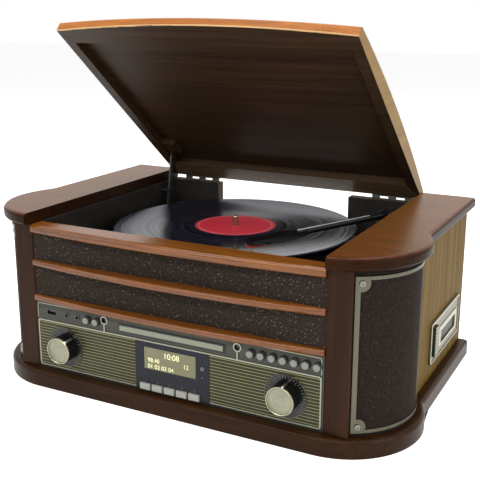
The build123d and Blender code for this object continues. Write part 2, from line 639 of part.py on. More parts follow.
dial_parts = []
plate_front = FASCIA_FRONT - 0.6
for side, x_low, x_high in (
    (-1, -LOWER_PANEL_HALF + BORDER_WIDTH, DISPLAY_LEFT),
    (1, DISPLAY_RIGHT, LOWER_PANEL_HALF - BORDER_WIDTH),
):
    plate = block(
        x_low, x_high, FACE_Y + plate_front, FACE_Y + FASCIA_FRONT,
        LOWER_PANEL_LOW + BORDER_WIDTH, LOWER_PANEL_HIGH - BORDER_WIDTH,
    )
    knob_x = side * KNOB_X
    plate -= rod_y(knob_x, FACE_Y - 3, FACE_Y + 3, KNOB_Z, DIAL_RADIUS)
    plate -= fascia
    dial_parts.append(plate)
    dial = rod_y(knob_x, FACE_Y + plate_front - 0.6, FACE_Y + FASCIA_FRONT, KNOB_Z, DIAL_RADIUS)
    dial -= rod_y(knob_x, FACE_Y - 3, FACE_Y + 3, KNOB_Z, KNOB_SHAFT_RADIUS + 0.6)
    dial_parts.append(dial)
    fascia -= rod_y(knob_x, FACE_Y - 3, FACE_Y + FASCIA_BACK + 1, KNOB_Z, KNOB_SHAFT_RADIUS + 0.6)
pieces["dial_plates"] = group(dial_parts)

STANDOFF_X = FRONT_HALF - 14.6
STANDOFFS = ((-STANDOFF_X, 70.0), (-60.0, 34.0), (70.0, 34.0), (STANDOFF_X, 70.0))
BOARD_FRONT = 14.0
for x, z in STANDOFFS:
    fascia += rod_y(x, FACE_Y + FASCIA_BACK - 0.5, FACE_Y + BOARD_FRONT, z, 3.0)


def knob(x, pointer_angle):
    """A control knob with its shaft; the pointer nub sits at the given angle from +X."""
    body = rod_y(x, FACE_Y + KNOB_FACE, FACE_Y - 1.4, KNOB_Z, KNOB_RADIUS)
    body = fillet(body.edges().group_by(Axis.Y)[0], 1.2)
    face = rod_y(x, FACE_Y + KNOB_FACE - 1, FACE_Y + KNOB_FACE + 0.7, KNOB_Z, KNOB_RADIUS - 2.4)
    body -= face
    turn = math.radians(pointer_angle)
    nub_x = x + (KNOB_RADIUS - 0.4) * math.cos(turn)
    nub_z = KNOB_Z + (KNOB_RADIUS - 0.4) * math.sin(turn)
    body += rod_y(nub_x, FACE_Y + KNOB_FACE + 1.2, FACE_Y - 1.4, nub_z, 2.0)
    body += rod_y(x, FACE_Y - 2.0, FACE_Y + BOARD_FRONT - 2.0, KNOB_Z, KNOB_SHAFT_RADIUS)
    return body


pieces["volume_knob"] = knob(-KNOB_X, 50.0)
pieces["tuning_knob"] = knob(KNOB_X, 80.0)

# ---------------------------------------------------------------------------
# Sockets and circuit board behind the fascia
# ---------------------------------------------------------------------------
USB_X = left_place(USB_SHARE)
sockets = []
usb_hole = block(
    USB_X - USB_WIDTH / 2, USB_X + USB_WIDTH / 2, FACE_Y - 3, FACE_Y + 20,
    CONTROL_Z - USB_HEIGHT / 2, CONTROL_Z + USB_HEIGHT / 2,
)
usb_body = block(
    USB_X - USB_WIDTH / 2 - 1, USB_X + USB_WIDTH / 2 + 1, FACE_Y + FASCIA_FRONT, FACE_Y + BOARD_FRONT,
    CONTROL_Z - USB_HEIGHT / 2 - 1, CONTROL_Z + USB_HEIGHT / 2 + 1,
)
fascia -= usb_body
usb_tongue = block(
    USB_X - USB_WIDTH / 2 + 1.4, USB_X + USB_WIDTH / 2 - 1.4, FACE_Y + 3, FACE_Y + BOARD_FRONT,
    CONTROL_Z + 0.2, CONTROL_Z + 1.8,
)
usb_back = block(
    USB_X - USB_WIDTH / 2 - 1, USB_X + USB_WIDTH / 2 + 1, FACE_Y + BOARD_FRONT - 1.2, FACE_Y + BOARD_FRONT,
    CONTROL_Z - USB_HEIGHT / 2 - 1, CONTROL_Z + USB_HEIGHT / 2 + 1,
)
sockets.append(usb_body - usb_hole + usb_tongue + usb_back)
for x in [left_place(share) for share in JACK_SHARES]:
    jack = rod_y(x, FACE_Y + 0.2, FACE_Y + BOARD_FRONT, CONTROL_Z, JACK_RADIUS)
    fascia -= jack
    jack -= rod_y(x, FACE_Y - 1, FACE_Y + BOARD_FRONT - 1.2, CONTROL_Z, JACK_BORE)
    sockets.append(jack)
pieces["front_sockets"] = group(sockets)

MECHANISM_LOW = TRAY_LOW - 9.9
MECHANISM_HIGH = TRAY_HIGH + 8.6
MECHANISM_WALL = 2.0
BOARD_HALF = FRONT_HALF - 6.6
circuit_board = block(
    -BOARD_HALF, BOARD_HALF, FACE_Y + BOARD_FRONT, FACE_Y + BOARD_FRONT + 1.6,
    LOWER_PANEL_LOW, CONTROL_Z + 7.6,
)
circuit_board -= block(
    TRAY_LEFT - 10.0, TRAY_RIGHT + 10.0, FACE_Y + BOARD_FRONT - 1, FACE_Y + BOARD_FRONT + 3,
    MECHANISM_LOW - 1.0, MECHANISM_HIGH,
)
for side in (-1, 1):
    pot = rod_y(side * KNOB_X, FACE_Y + BOARD_FRONT - 8.0, FACE_Y + BOARD_FRONT + 0.5, KNOB_Z, 8.0)
    circuit_board += pot
    circuit_board -= rod_y(
        side * KNOB_X, FACE_Y, FACE_Y + BOARD_FRONT + 3, KNOB_Z, KNOB_SHAFT_RADIUS + RUNNING_GAP
    )
lcd_module = block(
    LCD_LEFT - 3, LCD_RIGHT + 3, FACE_Y + FASCIA_BACK, FACE_Y + BOARD_FRONT + 0.5, LCD_LOW - 3, LCD_HIGH + 1.5
)
circuit_board += lcd_module
pieces["circuit_board"] = circuit_board

# ---------------------------------------------------------------------------
# Disc drawer
# ---------------------------------------------------------------------------
tray = block(TRAY_LEFT, TRAY_RIGHT, FACE_Y - 0.6, FACE_Y + FASCIA_FRONT + 1.0, TRAY_LOW, TRAY_HIGH)
tray = fillet(tray.edges().group_by(Axis.Y)[0], 0.8)
tray_middle = (TRAY_LEFT + TRAY_RIGHT) / 2
tray_plate = block(
    TRAY_LEFT + 0.6, TRAY_RIGHT - 0.6, FACE_Y + FASCIA_FRONT, FACE_Y + TRAY_DEPTH, TRAY_LOW, TRAY_LOW + 4.0
)
DISC_Y = FACE_Y + DISC_RADIUS + 11.5
tray_plate -= disc(tray_middle, DISC_Y, TRAY_LOW + 1.6, TRAY_HIGH, DISC_RADIUS)
tray_plate -= block(tray_middle - 11, tray_middle + 11, DISC_Y - 12, FACE_Y + TRAY_DEPTH + 1, 0, TRAY_HIGH)
pieces["cd_tray"] = tray + tray_plate

MECHANISM_REAR = FACE_Y + TRAY_DEPTH + 64.0
cd_mechanism = block(
    TRAY_LEFT - 3.0, TRAY_RIGHT + 3.0, FACE_Y + FASCIA_BACK, MECHANISM_REAR, MECHANISM_LOW, MECHANISM_HIGH
)
cd_mechanism -= block(
    TRAY_LEFT - TRAY_GAP, TRAY_RIGHT + TRAY_GAP, FACE_Y, MECHANISM_REAR - MECHANISM_WALL,
    TRAY_LOW - TRAY_GAP, MECHANISM_HIGH - MECHANISM_WALL,
)
cd_mechanism -= block(
    tray_middle - 24, tray_middle + 24, DISC_Y - 22, DISC_Y + 38, MECHANISM_LOW + MECHANISM_WALL, TRAY_LOW
)
spindle_motor = disc(tray_middle, DISC_Y, MECHANISM_LOW + 1.0, TRAY_LOW - 1.1, 9.0)
optics = block(
    tray_middle - 8, tray_middle + 8, DISC_Y + 13, DISC_Y + 31, MECHANISM_LOW + 1.0, TRAY_LOW - 1.9
)
cd_mechanism = cd_mechanism + spindle_motor + optics
for x in (TRAY_LEFT + 4.0, TRAY_RIGHT - 4.0):
    for y in (FACE_Y + 40.0, MECHANISM_REAR - 10.0):
        cd_mechanism += disc(x, y, BOTTOM_BOARD_THICKNESS, MECHANISM_LOW + 0.5, 4.0)
pieces["cd_mechanism"] = cd_mechanism

# ---------------------------------------------------------------------------
# Turntable
# ---------------------------------------------------------------------------
TUB_FRONT = FACE_Y + CLOTH_FRONT + CLOTH_THICKNESS
TUB_REAR = REAR_Y - WALL_THICKNESS
deck = block(-FRONT_HALF, FRONT_HALF, TUB_FRONT, TUB_REAR, DECK_TOP - DECK_THICKNESS, WALL_TOP)
deck -= block(
    -FRONT_HALF + DECK_THICKNESS, FRONT_HALF - DECK_THICKNESS,
    TUB_FRONT + DECK_THICKNESS, TUB_REAR - DECK_THICKNESS, DECK_TOP, WALL_TOP + 1,
)
deck -= block(
    -FRONT_HALF - 1, FRONT_HALF + 1, TUB_FRONT - 1, FACE_Y + RAIL_DEPTH, WALL_TOP - RAIL_HEIGHT, WALL_TOP + 1
)
deck -= record_gap
post_corner = FACE_Y + POST_DEPTH
flange = block(FRONT_HALF - 0.5, FRONT_HALF + 12.0, post_corner, TUB_REAR, WALL_TOP - 3.0, WALL_TOP)
deck = deck + flange + mirrored(flange)
deck += disc(RECORD_X, RECORD_Y, DECK_TOP - 1.0, DECK_TOP + 5.0, PLATTER_RADIUS + 3.0)
bearing_radius = 9.0
deck += disc(RECORD_X, RECORD_Y, DECK_TOP - 16.0, DECK_TOP + 8.0, bearing_radius)
deck -= disc(RECORD_X, RECORD_Y, DECK_TOP - 14.0, DECK_TOP + 9.0, SPINDLE_RADIUS + RUNNING_GAP)

motor_turn = math.radians(MOTOR_ANGLE)
MOTOR_X = RECORD_X + MOTOR_OFFSET * math.cos(motor_turn)
MOTOR_Y = RECORD_Y + MOTOR_OFFSET * math.sin(motor_turn)
deck -= disc(MOTOR_X, MOTOR_Y, DECK_TOP - DECK_THICKNESS - 1, DECK_TOP + 6.0, 9.0)

platter_low = PLATTER_TOP - PLATTER_THICKNESS
platter = disc(RECORD_X, RECORD_Y, platter_low, PLATTER_TOP, PLATTER_RADIUS)
platter_skirt = disc(RECORD_X, RECORD_Y, platter_low - 14.0, platter_low + 0.5, PLATTER_RADIUS)
platter_skirt -= disc(RECORD_X, RECORD_Y, platter_low - 15.0, platter_low + 1.0, PLATTER_RADIUS - 5.0)
belt_ring = disc(RECORD_X, RECORD_Y, BELT_LOW - 1.0, platter_low + 0.5, BELT_RING_RADIUS)
belt_ring -= disc(RECORD_X, RECORD_Y, BELT_LOW - 2.0, platter_low + 1.0, BELT_RING_RADIUS - 4.0)
hub = disc(RECORD_X, RECORD_Y, DECK_TOP + 8.4, platter_low + 0.5, bearing_radius)
spindle = disc(RECORD_X, RECORD_Y, DECK_TOP - 13.0, SPINDLE_TOP, SPINDLE_RADIUS)
spindle = fillet(spindle.edges().group_by(Axis.Z)[-1], 2.4)
platter = platter + platter_skirt + belt_ring + hub
pieces["platter"] = platter + spindle
pieces["slip_mat"] = disc(
    RECORD_X, RECORD_Y, PLATTER_TOP, PLATTER_TOP + MAT_THICKNESS, PLATTER_RADIUS - 2.0
) - disc(RECORD_X, RECORD_Y, 0, RECORD_TOP, SPINDLE_RADIUS)
record = disc(RECORD_X, RECORD_Y, RECORD_TOP - RECORD_THICKNESS + 0.2, RECORD_TOP - 0.2, RECORD_RADIUS)
record += disc(RECORD_X, RECORD_Y, RECORD_TOP - RECORD_THICKNESS, RECORD_TOP, LABEL_RADIUS)
record -= disc(RECORD_X, RECORD_Y, 0, RECORD_TOP + 1, SPINDLE_RADIUS)
pieces["record"] = record

pulley = disc(MOTOR_X, MOTOR_Y, BELT_LOW - 1.6, BELT_LOW - 0.4, PULLEY_RADIUS + 1.5)
pulley += disc(MOTOR_X, MOTOR_Y, BELT_LOW - 0.5, BELT_LOW + BELT_HEIGHT + 0.5, PULLEY_RADIUS)
belt_top = BELT_LOW + BELT_HEIGHT
pulley += disc(MOTOR_X, MOTOR_Y, belt_top + 0.4, belt_top + 1.6, PULLEY_RADIUS + 1.5)
pulley += disc(MOTOR_X, MOTOR_Y, DECK_TOP - 15.0, BELT_LOW, 1.5)
pieces["motor_pulley"] = pulley

MOTOR_RADIUS = 17.0
motor_top = DECK_TOP - DECK_THICKNESS
drive_motor = disc(MOTOR_X, MOTOR_Y, motor_top - 25.0, motor_top, MOTOR_RADIUS)
drive_motor = fillet(drive_motor.edges().group_by(Axis.Z)[0], 2.0)
drive_motor += disc(MOTOR_X, MOTOR_Y, motor_top - 1.0, DECK_TOP + 2.0, 5.0)
drive_motor -= disc(MOTOR_X, MOTOR_Y, motor_top - 20.0, DECK_TOP + 3.0, 1.5 + RUNNING_GAP)
pieces["drive_motor"] = drive_motor


def belt_prism(grow, z_low, z_high):
    """The outline of a belt round both pulleys, grown outwards by a margin."""
    big = BELT_RING_RADIUS + grow
    small = PULLEY_RADIUS + grow
    lean = math.acos((big - small) / MOTOR_OFFSET)
    big_turns = (motor_turn + lean, motor_turn - lean)
    edge_points = []
    for turn in big_turns:
        direction = (math.cos(turn), math.sin(turn))
        edge_points.append((RECORD_X + big * direction[0], RECORD_Y + big * direction[1]))
        edge_points.append((MOTOR_X + small * direction[0], MOTOR_Y + small * direction[1]))
    far = (RECORD_X - big * math.cos(motor_turn), RECORD_Y - big * math.sin(motor_turn))
    near = (MOTOR_X + small * math.cos(motor_turn), MOTOR_Y + small * math.sin(motor_turn))
    edges = [
        ThreePointArc(edge_points[0], far, edge_points[2]),
        Line(edge_points[2], edge_points[3]),
        ThreePointArc(edge_points[3], near, edge_points[1]),
        Line(edge_points[1], edge_points[0]),
    ]
    return prism(edges, z_low, z_high)


drive_belt = belt_prism(BELT_GAP + BELT_THICKNESS, BELT_LOW, BELT_LOW + BELT_HEIGHT)
drive_belt -= belt_prism(BELT_GAP, BELT_LOW - 1, BELT_LOW + BELT_HEIGHT + 1)
pieces["drive_belt"] = drive_belt

# ---------------------------------------------------------------------------
# Tonearm
# ---------------------------------------------------------------------------
TURRET_TOP = ARM_Z - 12.5
turret = disc(PIVOT_X, PIVOT_Y, DECK_TOP, TURRET_TOP - 8.0, 17.0)
turret = fillet(turret.edges().group_by(Axis.Z)[-1], 3.0)
turret += disc(PIVOT_X, PIVOT_Y, TURRET_TOP - 9.0, TURRET_TOP, 9.0)
turret -= disc(PIVOT_X, PIVOT_Y, TURRET_TOP - 30.0, TURRET_TOP + 1, 3.0 + RUNNING_GAP)
CUE_X = PIVOT_X + 12.0
CUE_Y = PIVOT_Y - 22.0
CUE_Z = RECORD_TOP - 8.0
cue_bracket = block(CUE_X - 9.5, CUE_X - 5.5, CUE_Y - 4.0, PIVOT_Y - 5.0, CUE_Z - 4.0, CUE_Z + 4.0)
turret += cue_bracket
turret -= rod_x(CUE_X - 11.0, CUE_X - 3.0, CUE_Y, CUE_Z, 1.5 + RUNNING_GAP)
pieces["tonearm_turret"] = turret

cue_lever = rod_x(CUE_X - 9.0, CUE_X - 3.0, CUE_Y, CUE_Z, 1.5)
cue_lever += rod_x(CUE_X - 5.1, CUE_X + 1.0, CUE_Y, CUE_Z, 3.6)
cue_lever += rod_y(CUE_X - 2.0, CUE_Y - 24.0, CUE_Y, CUE_Z, 1.5)
cue_lever += block(CUE_X - 5.0, CUE_X + 1.0, CUE_Y - 31.0, CUE_Y - 23.0, CUE_Z - 1.6, CUE_Z + 2.0)
pieces["cue_lever"] = cue_lever

YOKE_GAP = 6.2
arm_turn = Pos(PIVOT_X, PIVOT_Y, 0) * Rot(0, 0, ARM_HEADING)
yoke = Pos(0, 0, TURRET_TOP + 2.7) * Cylinder(12.0, 4.6)
for side in (-1, 1):
    cheek_y = side * (YOKE_GAP + 1.5)
    cheek = block(-6.0, 6.0, cheek_y - 1.5, cheek_y + 1.5, TURRET_TOP + 4.0, ARM_Z + 5.0)
    cheek = fillet(cheek.edges().filter_by(Axis.Y).group_by(Axis.Z)[-1], 4.0)
    yoke += cheek
yoke += Pos(0, 0, TURRET_TOP - 12.0) * Cylinder(3.0, 26.0)
yoke -= Pos(0, 0, ARM_Z) * Rot(90, 0, 0) * Cylinder(2.0 + RUNNING_GAP, 40.0)
pieces["tonearm_yoke"] = arm_turn * yoke

shell_turn = SHELL_HEADING - ARM_HEADING
arm = Pos(ARM_LENGTH / 2, 0, ARM_Z) * Rot(0, 90, 0) * Cylinder(ARM_RADIUS, ARM_LENGTH)
arm += Pos(0, 0, ARM_Z) * Box(17.0, 2 * YOKE_GAP - 1.4, 8.0)
weight_place = Pos(-WEIGHT_NEAR - WEIGHT_LENGTH / 2, 0, ARM_Z) * Rot(0, 90, 0)
arm += weight_place * Cylinder(WEIGHT_RADIUS, WEIGHT_LENGTH)
arm += Pos(0, 0, ARM_Z) * Rot(90, 0, 0) * Cylinder(2.0, 2 * YOKE_GAP + 5.0)
SHELL_BACK = -10.0
SHELL_SHOULDER = 16.0
SHELL_LOW = ARM_Z - 5.5
SHELL_CEILING = ARM_Z - 3.4
NOSE_LENGTH = 7.0
half_shell = SHELL_WIDTH / 2
nose_start = SHELL_LENGTH - NOSE_LENGTH
side_corners = (
    (SHELL_BACK, ARM_Z - 0.8 * ARM_RADIUS),
    (SHELL_BACK, ARM_Z + 0.8 * ARM_RADIUS),
    (SHELL_SHOULDER, ARM_Z + 2.0),
    (SHELL_LENGTH - 4.0, ARM_Z - 2.2),
    (SHELL_LENGTH, ARM_Z - 4.5),
    (SHELL_LENGTH, SHELL_LOW),
    (SHELL_SHOULDER, SHELL_LOW),
)
side_wire = Polyline(*[(x, 0, z) for x, z in side_corners], close=True)
shell = extrude(Face(Wire(side_wire.edges())), half_shell, dir=(0, 1, 0), both=True)
plan_edges = [
    Line((SHELL_BACK, -ARM_RADIUS), (SHELL_SHOULDER, -half_shell)),
    Line((SHELL_SHOULDER, -half_shell), (nose_start, -half_shell)),
    ThreePointArc((nose_start, -half_shell), (SHELL_LENGTH, 0), (nose_start, half_shell)),
    Line((nose_start, half_shell), (SHELL_SHOULDER, half_shell)),
    Line((SHELL_SHOULDER, half_shell), (SHELL_BACK, ARM_RADIUS)),
    Line((SHELL_BACK, ARM_RADIUS), (SHELL_BACK, -ARM_RADIUS)),
]
shell &= prism(plan_edges, SHELL_LOW - 1.0, ARM_Z + ARM_RADIUS)
CARTRIDGE_START = SHELL_SHOULDER + 2.0
shell -= block(CARTRIDGE_START - 1.0, nose_start, -6.5, 6.5, SHELL_LOW - 1.0, SHELL_CEILING)
finger = block(
    nose_start - 16.0, nose_start - 11.0, half_shell - 1.0, half_shell + 10.0,
    SHELL_CEILING, SHELL_CEILING + 1.2,
)
shell_place = Pos(ARM_LENGTH, 0, 0) * Rot(0, 0, shell_turn)
pieces["tonearm"] = arm_turn * (arm + shell_place * (shell + finger))

STYLUS_REACH = SHELL_LENGTH - 8.0
STYLUS_HEIGHT = 1.5
STYLUS_GAP = 0.05
CARTRIDGE_LOW = ARM_Z - 7.0
HOLDER_LOW = RECORD_TOP + STYLUS_HEIGHT
cartridge = block(CARTRIDGE_START, nose_start - 1.0, -5.5, 5.5, CARTRIDGE_LOW, SHELL_CEILING)
cartridge += block(SHELL_LENGTH - 23.0, SHELL_LENGTH - 1.5, -4.5, 4.5, HOLDER_LOW, SHELL_LOW)
cartridge += Pos(STYLUS_REACH, 0, RECORD_TOP + STYLUS_GAP + STYLUS_HEIGHT / 2) * Rot(180, 0, 0) * Cone(
    1.4, 0.4, STYLUS_HEIGHT
)
pieces["cartridge"] = arm_turn * shell_place * cartridge

rest_place = arm_point(ARM_HEADING + ARM_PARK_SWING, ARM_REST_REACH)
rest = disc(*rest_place, DECK_TOP - 1.0, ARM_Z - ARM_RADIUS - 1.5, 4.0)
rest_shelf = block(-5.0, 5.0, -4.5, 8.2, ARM_Z - ARM_RADIUS - 2.6, ARM_Z - ARM_RADIUS - 0.6)
rest_lip = block(-5.0, 5.0, ARM_RADIUS + 0.5, ARM_RADIUS + 2.7, ARM_Z - ARM_RADIUS - 2.0, ARM_Z + 2.0)
rest_head = Pos(*rest_place, 0) * Rot(0, 0, ARM_HEADING + ARM_PARK_SWING) * (rest_shelf + rest_lip)
deck = deck + rest + rest_head

SPEED_X = PIVOT_X
SPEED_Y = FACE_Y + 50.0
deck += disc(SPEED_X, SPEED_Y, DECK_TOP - 0.5, DECK_TOP + 6.0, 11.0)
deck -= disc(SPEED_X, SPEED_Y, DECK_TOP - 2.0, DECK_TOP + 7.0, 3.0 + RUNNING_GAP)
speed_lever = disc(SPEED_X, SPEED_Y, DECK_TOP - 1.5, DECK_TOP + 8.0, 3.0)
speed_lever += disc(SPEED_X, SPEED_Y, DECK_TOP + 6.4, DECK_TOP + 11.0, 7.0)
speed_lever += block(SPEED_X - 2.2, SPEED_X + 2.2, SPEED_Y - 20.0, SPEED_Y, DECK_TOP + 7.0, DECK_TOP + 10.6)
speed_lever += disc(SPEED_X, SPEED_Y - 20.0, DECK_TOP + 7.0, DECK_TOP + 15.0, 3.2)
pieces["speed_lever"] = speed_lever

# ---------------------------------------------------------------------------
# Lid, hinges and stay. The lid is drawn closed and then swung open.
# ---------------------------------------------------------------------------
lid_edges = [
    ThreePointArc((-LID_HALF, LID_FRONT_Y), (0, LID_FRONT_Y - LID_BOW), (LID_HALF, LID_FRONT_Y)),
    Line((LID_HALF, LID_FRONT_Y), (LID_HALF, LID_REAR_Y)),
    Line((LID_HALF, LID_REAR_Y), (-LID_HALF, LID_REAR_Y)),
    Line((-LID_HALF, LID_REAR_Y), (-LID_HALF, LID_FRONT_Y)),
]
lid = prism(lid_edges, LID_LOW, LID_LOW + LID_CROWN + 4.0)
dome_front = LID_FRONT_Y - LID_BOW - 1.0
dome_low = LID_LOW - 1.0
dome_face = Face(Wire([
    Line((0, dome_front, dome_low), (0, LID_REAR_Y + 1.0, dome_low)),
    Line((0, LID_REAR_Y + 1.0, dome_low), (0, LID_REAR_Y + 1.0, LID_LOW + LID_EDGE)),
    ThreePointArc(
        (0, LID_REAR_Y + 1.0, LID_LOW + LID_EDGE),
        (0, (LID_REAR_Y + dome_front) / 2, LID_LOW + LID_CROWN),
        (0, dome_front, LID_LOW + LID_EDGE),
    ),
    Line((0, dome_front, LID_LOW + LID_EDGE), (0, dome_front, dome_low)),
]))
dome = extrude(dome_face, LID_HALF + 1.0, dir=(1, 0, 0), both=True)
lid &= dome
front_edges = lid.edges().filter_by(
    lambda edge: edge.center().Y < LID_FRONT_Y + 1.0 and edge.length > LID_HALF
)
lid = fillet(front_edges.sort_by(Axis.Z)[-1], LID_TOP_ROUND)
low_front = lid.edges().filter_by(lambda edge: edge.center().Y < LID_FRONT_Y + 1.0 and edge.length > LID_HALF)
lid = fillet(low_front.sort_by(Axis.Z)[0], LID_LOW_ROUND)
recess_front = LID_FRONT_Y + 22.5
recess_rear = LID_REAR_Y - 33.0
recess = block(
    -LID_RECESS_HALF, LID_RECESS_HALF, recess_front, recess_rear, LID_LOW - 1, LID_LOW + LID_RECESS_DEPTH
)
lid -= recess
stay_y = HINGE_PIN_Y - STAY_S
stay_z = HINGE_PIN_Z + STAY_H
STAY_PIN_RADIUS = 2.0
STAY_THICKNESS = 2.0
lid += rod_x(-LID_RECESS_HALF - 2.0, STAY_X + STAY_THICKNESS + 0.3, stay_y, stay_z, STAY_PIN_RADIUS)
lid += rod_x(STAY_X + STAY_THICKNESS + 0.3, STAY_X + STAY_THICKNESS + 1.8, stay_y, stay_z, 4.0)
STAY_BLOCK_WIDTH = 22.0
STAY_BLOCK_LENGTH = 24.0
lid += block(
    -LID_RECESS_HALF - 0.5, STAY_BLOCK_WIDTH - LID_RECESS_HALF,
    stay_y - 8.0 - STAY_BLOCK_LENGTH, stay_y - 8.0,
    LID_LOW + 2.0, LID_LOW + LID_RECESS_DEPTH + 1.0,
)

KNUCKLE_RADIUS = 3.2
PIN_RADIUS = 1.5
LEAF_THICKNESS = 1.5
LEAF_HEIGHT = 14.0
HINGE_SCREW = (2.6, 1.1, 1.4, 9.0)
knuckle_length = HINGE_LENGTH / HINGE_KNUCKLES
cabinet_hinges = []
lid_leaves = []
for centre_x in (-HINGE_X, HINGE_X):
    start_x = centre_x - HINGE_LENGTH / 2
    end_x = centre_x + HINGE_LENGTH / 2
    leaf_back = REAR_Y + LEAF_THICKNESS
    fixed = block(start_x, end_x, REAR_Y, leaf_back, WALL_TOP - LEAF_HEIGHT, WALL_TOP)
    moving = block(
        start_x, end_x, LID_REAR_Y, LID_REAR_Y + LEAF_THICKNESS, LID_LOW + 1.2, LID_LOW + LID_EDGE - 1.0
    )
    for index in range(HINGE_KNUCKLES):
        low_x = start_x + index * knuckle_length + 0.15
        high_x = low_x + knuckle_length - 0.3
        knuckle = rod_x(low_x, high_x, HINGE_PIN_Y, HINGE_PIN_Z, KNUCKLE_RADIUS)
        if index % 2 == 0:
            web = block(low_x, high_x, REAR_Y, leaf_back, WALL_TOP - 1.0, HINGE_PIN_Z)
            fixed += knuckle + web
        else:
            web = block(
                low_x, high_x, LID_REAR_Y + 0.5, HINGE_PIN_Y,
                HINGE_PIN_Z - LEAF_THICKNESS / 2, HINGE_PIN_Z + LEAF_THICKNESS / 2,
            )
            moving += knuckle + web
    moving -= rod_x(start_x - 1, end_x + 1, HINGE_PIN_Y, HINGE_PIN_Z, PIN_RADIUS + RUNNING_GAP)
    fixed += rod_x(start_x - 0.8, end_x + 0.8, HINGE_PIN_Y, HINGE_PIN_Z, PIN_RADIUS)
    for offset in (-16.0, 16.0):
        place = Pos(centre_x + offset, leaf_back - 1.1, WALL_TOP - LEAF_HEIGHT / 2) * Rot(-90, 0, 0)
        screws.append(place * cross_head_screw(*HINGE_SCREW))
        hole = place * screw_hole(*HINGE_SCREW)
        fixed -= hole
        rear_panel -= hole
    cabinet_hinges.append(fixed)
    lid_leaves.append(moving)
pieces["cabinet_hinges"] = group(cabinet_hinges)

hinge_axis = Axis((0, HINGE_PIN_Y, HINGE_PIN_Z), (1, 0, 0))
pieces["lid"] = lid.rotate(hinge_axis, -LID_OPEN_ANGLE)
pieces["lid_hinge_leaves"] = group(lid_leaves).rotate(hinge_axis, -LID_OPEN_ANGLE)

open_turn = math.radians(LID_OPEN_ANGLE)
STAY_OPEN_Y = HINGE_PIN_Y - STAY_S * math.cos(open_turn) + STAY_H * math.sin(open_turn)
STAY_OPEN_Z = HINGE_PIN_Z + STAY_S * math.sin(open_turn) + STAY_H * math.cos(open_turn)
stay_lean = math.degrees(math.atan2(STAY_OPEN_Y - STAY_GUIDE_Y, STAY_OPEN_Z - STAY_GUIDE_Z))
stay = block(STAY_X, STAY_X + STAY_THICKNESS, -3.0, 3.0, -STAY_LENGTH, 0)
stay += rod_x(STAY_X, STAY_X + STAY_THICKNESS, 0, 0, 4.0)
stay -= rod_x(STAY_X - 1, STAY_X + STAY_THICKNESS + 1, 0, 0, STAY_PIN_RADIUS + RUNNING_GAP)
pieces["lid_stay"] = Pos(0, STAY_OPEN_Y, STAY_OPEN_Z) * Rot(-stay_lean, 0, 0) * stay

wall_inner = -FRONT_HALF + DECK_THICKNESS
for side in (-1, 1):
    guide_y = STAY_GUIDE_Y + side * 6.6
    deck += rod_x(wall_inner - 1.0, STAY_X + STAY_THICKNESS + 2.0, guide_y, STAY_GUIDE_Z, 1.6)
deck -= block(
    STAY_X - 2.5, STAY_X + STAY_THICKNESS + 2.5, STAY_GUIDE_Y + 3.0, STAY_GUIDE_Y + 23.0, 0, DECK_TOP + 1
)
pieces["turntable_deck"] = deck

# ---------------------------------------------------------------------------
# Cassette deck in the right side
# ---------------------------------------------------------------------------
bezel_out = SIDE_X + BEZEL_THICKNESS
bezel = block(SIDE_X, bezel_out, BEZEL_FRONT, BEZEL_REAR, BEZEL_LOW, BEZEL_HIGH)
bezel = fillet(bezel.edges().filter_by(Axis.X), 4.0)
bezel = fillet(bezel.faces().sort_by(Axis.X)[-1].outer_wire().edges(), 1.0)
BEZEL_RIM = 2.5
SUNK_DEPTH = 1.0
bezel_sunk = block(
    bezel_out - SUNK_DEPTH, bezel_out + 1, BEZEL_FRONT + BEZEL_RIM, BEZEL_REAR - BEZEL_RIM,
    BEZEL_LOW + BEZEL_RIM, BEZEL_HIGH - BEZEL_RIM,
)
bezel -= fillet(bezel_sunk.edges().filter_by(Axis.X), 2.0)
FLAP_SWING_ROOM = 3.0
slot_frame = block(
    SIDE_X + 1.0, bezel_out, SLOT_FRONT - 8.0, SLOT_REAR + 8.0,
    SLOT_LOW - 3.5, SLOT_HIGH + FLAP_SWING_ROOM + 3.5,
)
slot_frame = fillet(slot_frame.edges().filter_by(Axis.X), 2.0)
bezel += fillet(slot_frame.faces().sort_by(Axis.X)[-1].outer_wire().edges(), 0.6)
cassette_deck = block(
    SIDE_X - 122.5, SIDE_X, SLOT_FRONT - 3.0, SLOT_REAR + 2.0, SLOT_LOW - 5.0, SLOT_HIGH + 16.5
)
CASSETTE_DEPTH = 104.0
slot_cut = block(
    SIDE_X + 1.5 - CASSETTE_DEPTH, bezel_out + 1, SLOT_FRONT, SLOT_REAR, SLOT_LOW, SLOT_HIGH
)
flap_room = block(
    SIDE_X - 16.0, bezel_out - 1.2, SLOT_FRONT, SLOT_REAR, SLOT_HIGH - 0.5, SLOT_HIGH + FLAP_SWING_ROOM
)
cassette_deck -= slot_cut
cassette_deck -= flap_room
bezel -= slot_cut
bezel -= flap_room
eject_margin = 0.3
eject_hole = block(
    SIDE_X - 20.0, bezel_out + 1, EJECT_FRONT - eject_margin, EJECT_REAR + eject_margin,
    EJECT_LOW - eject_margin, EJECT_HIGH + eject_margin,
)
bezel -= eject_hole

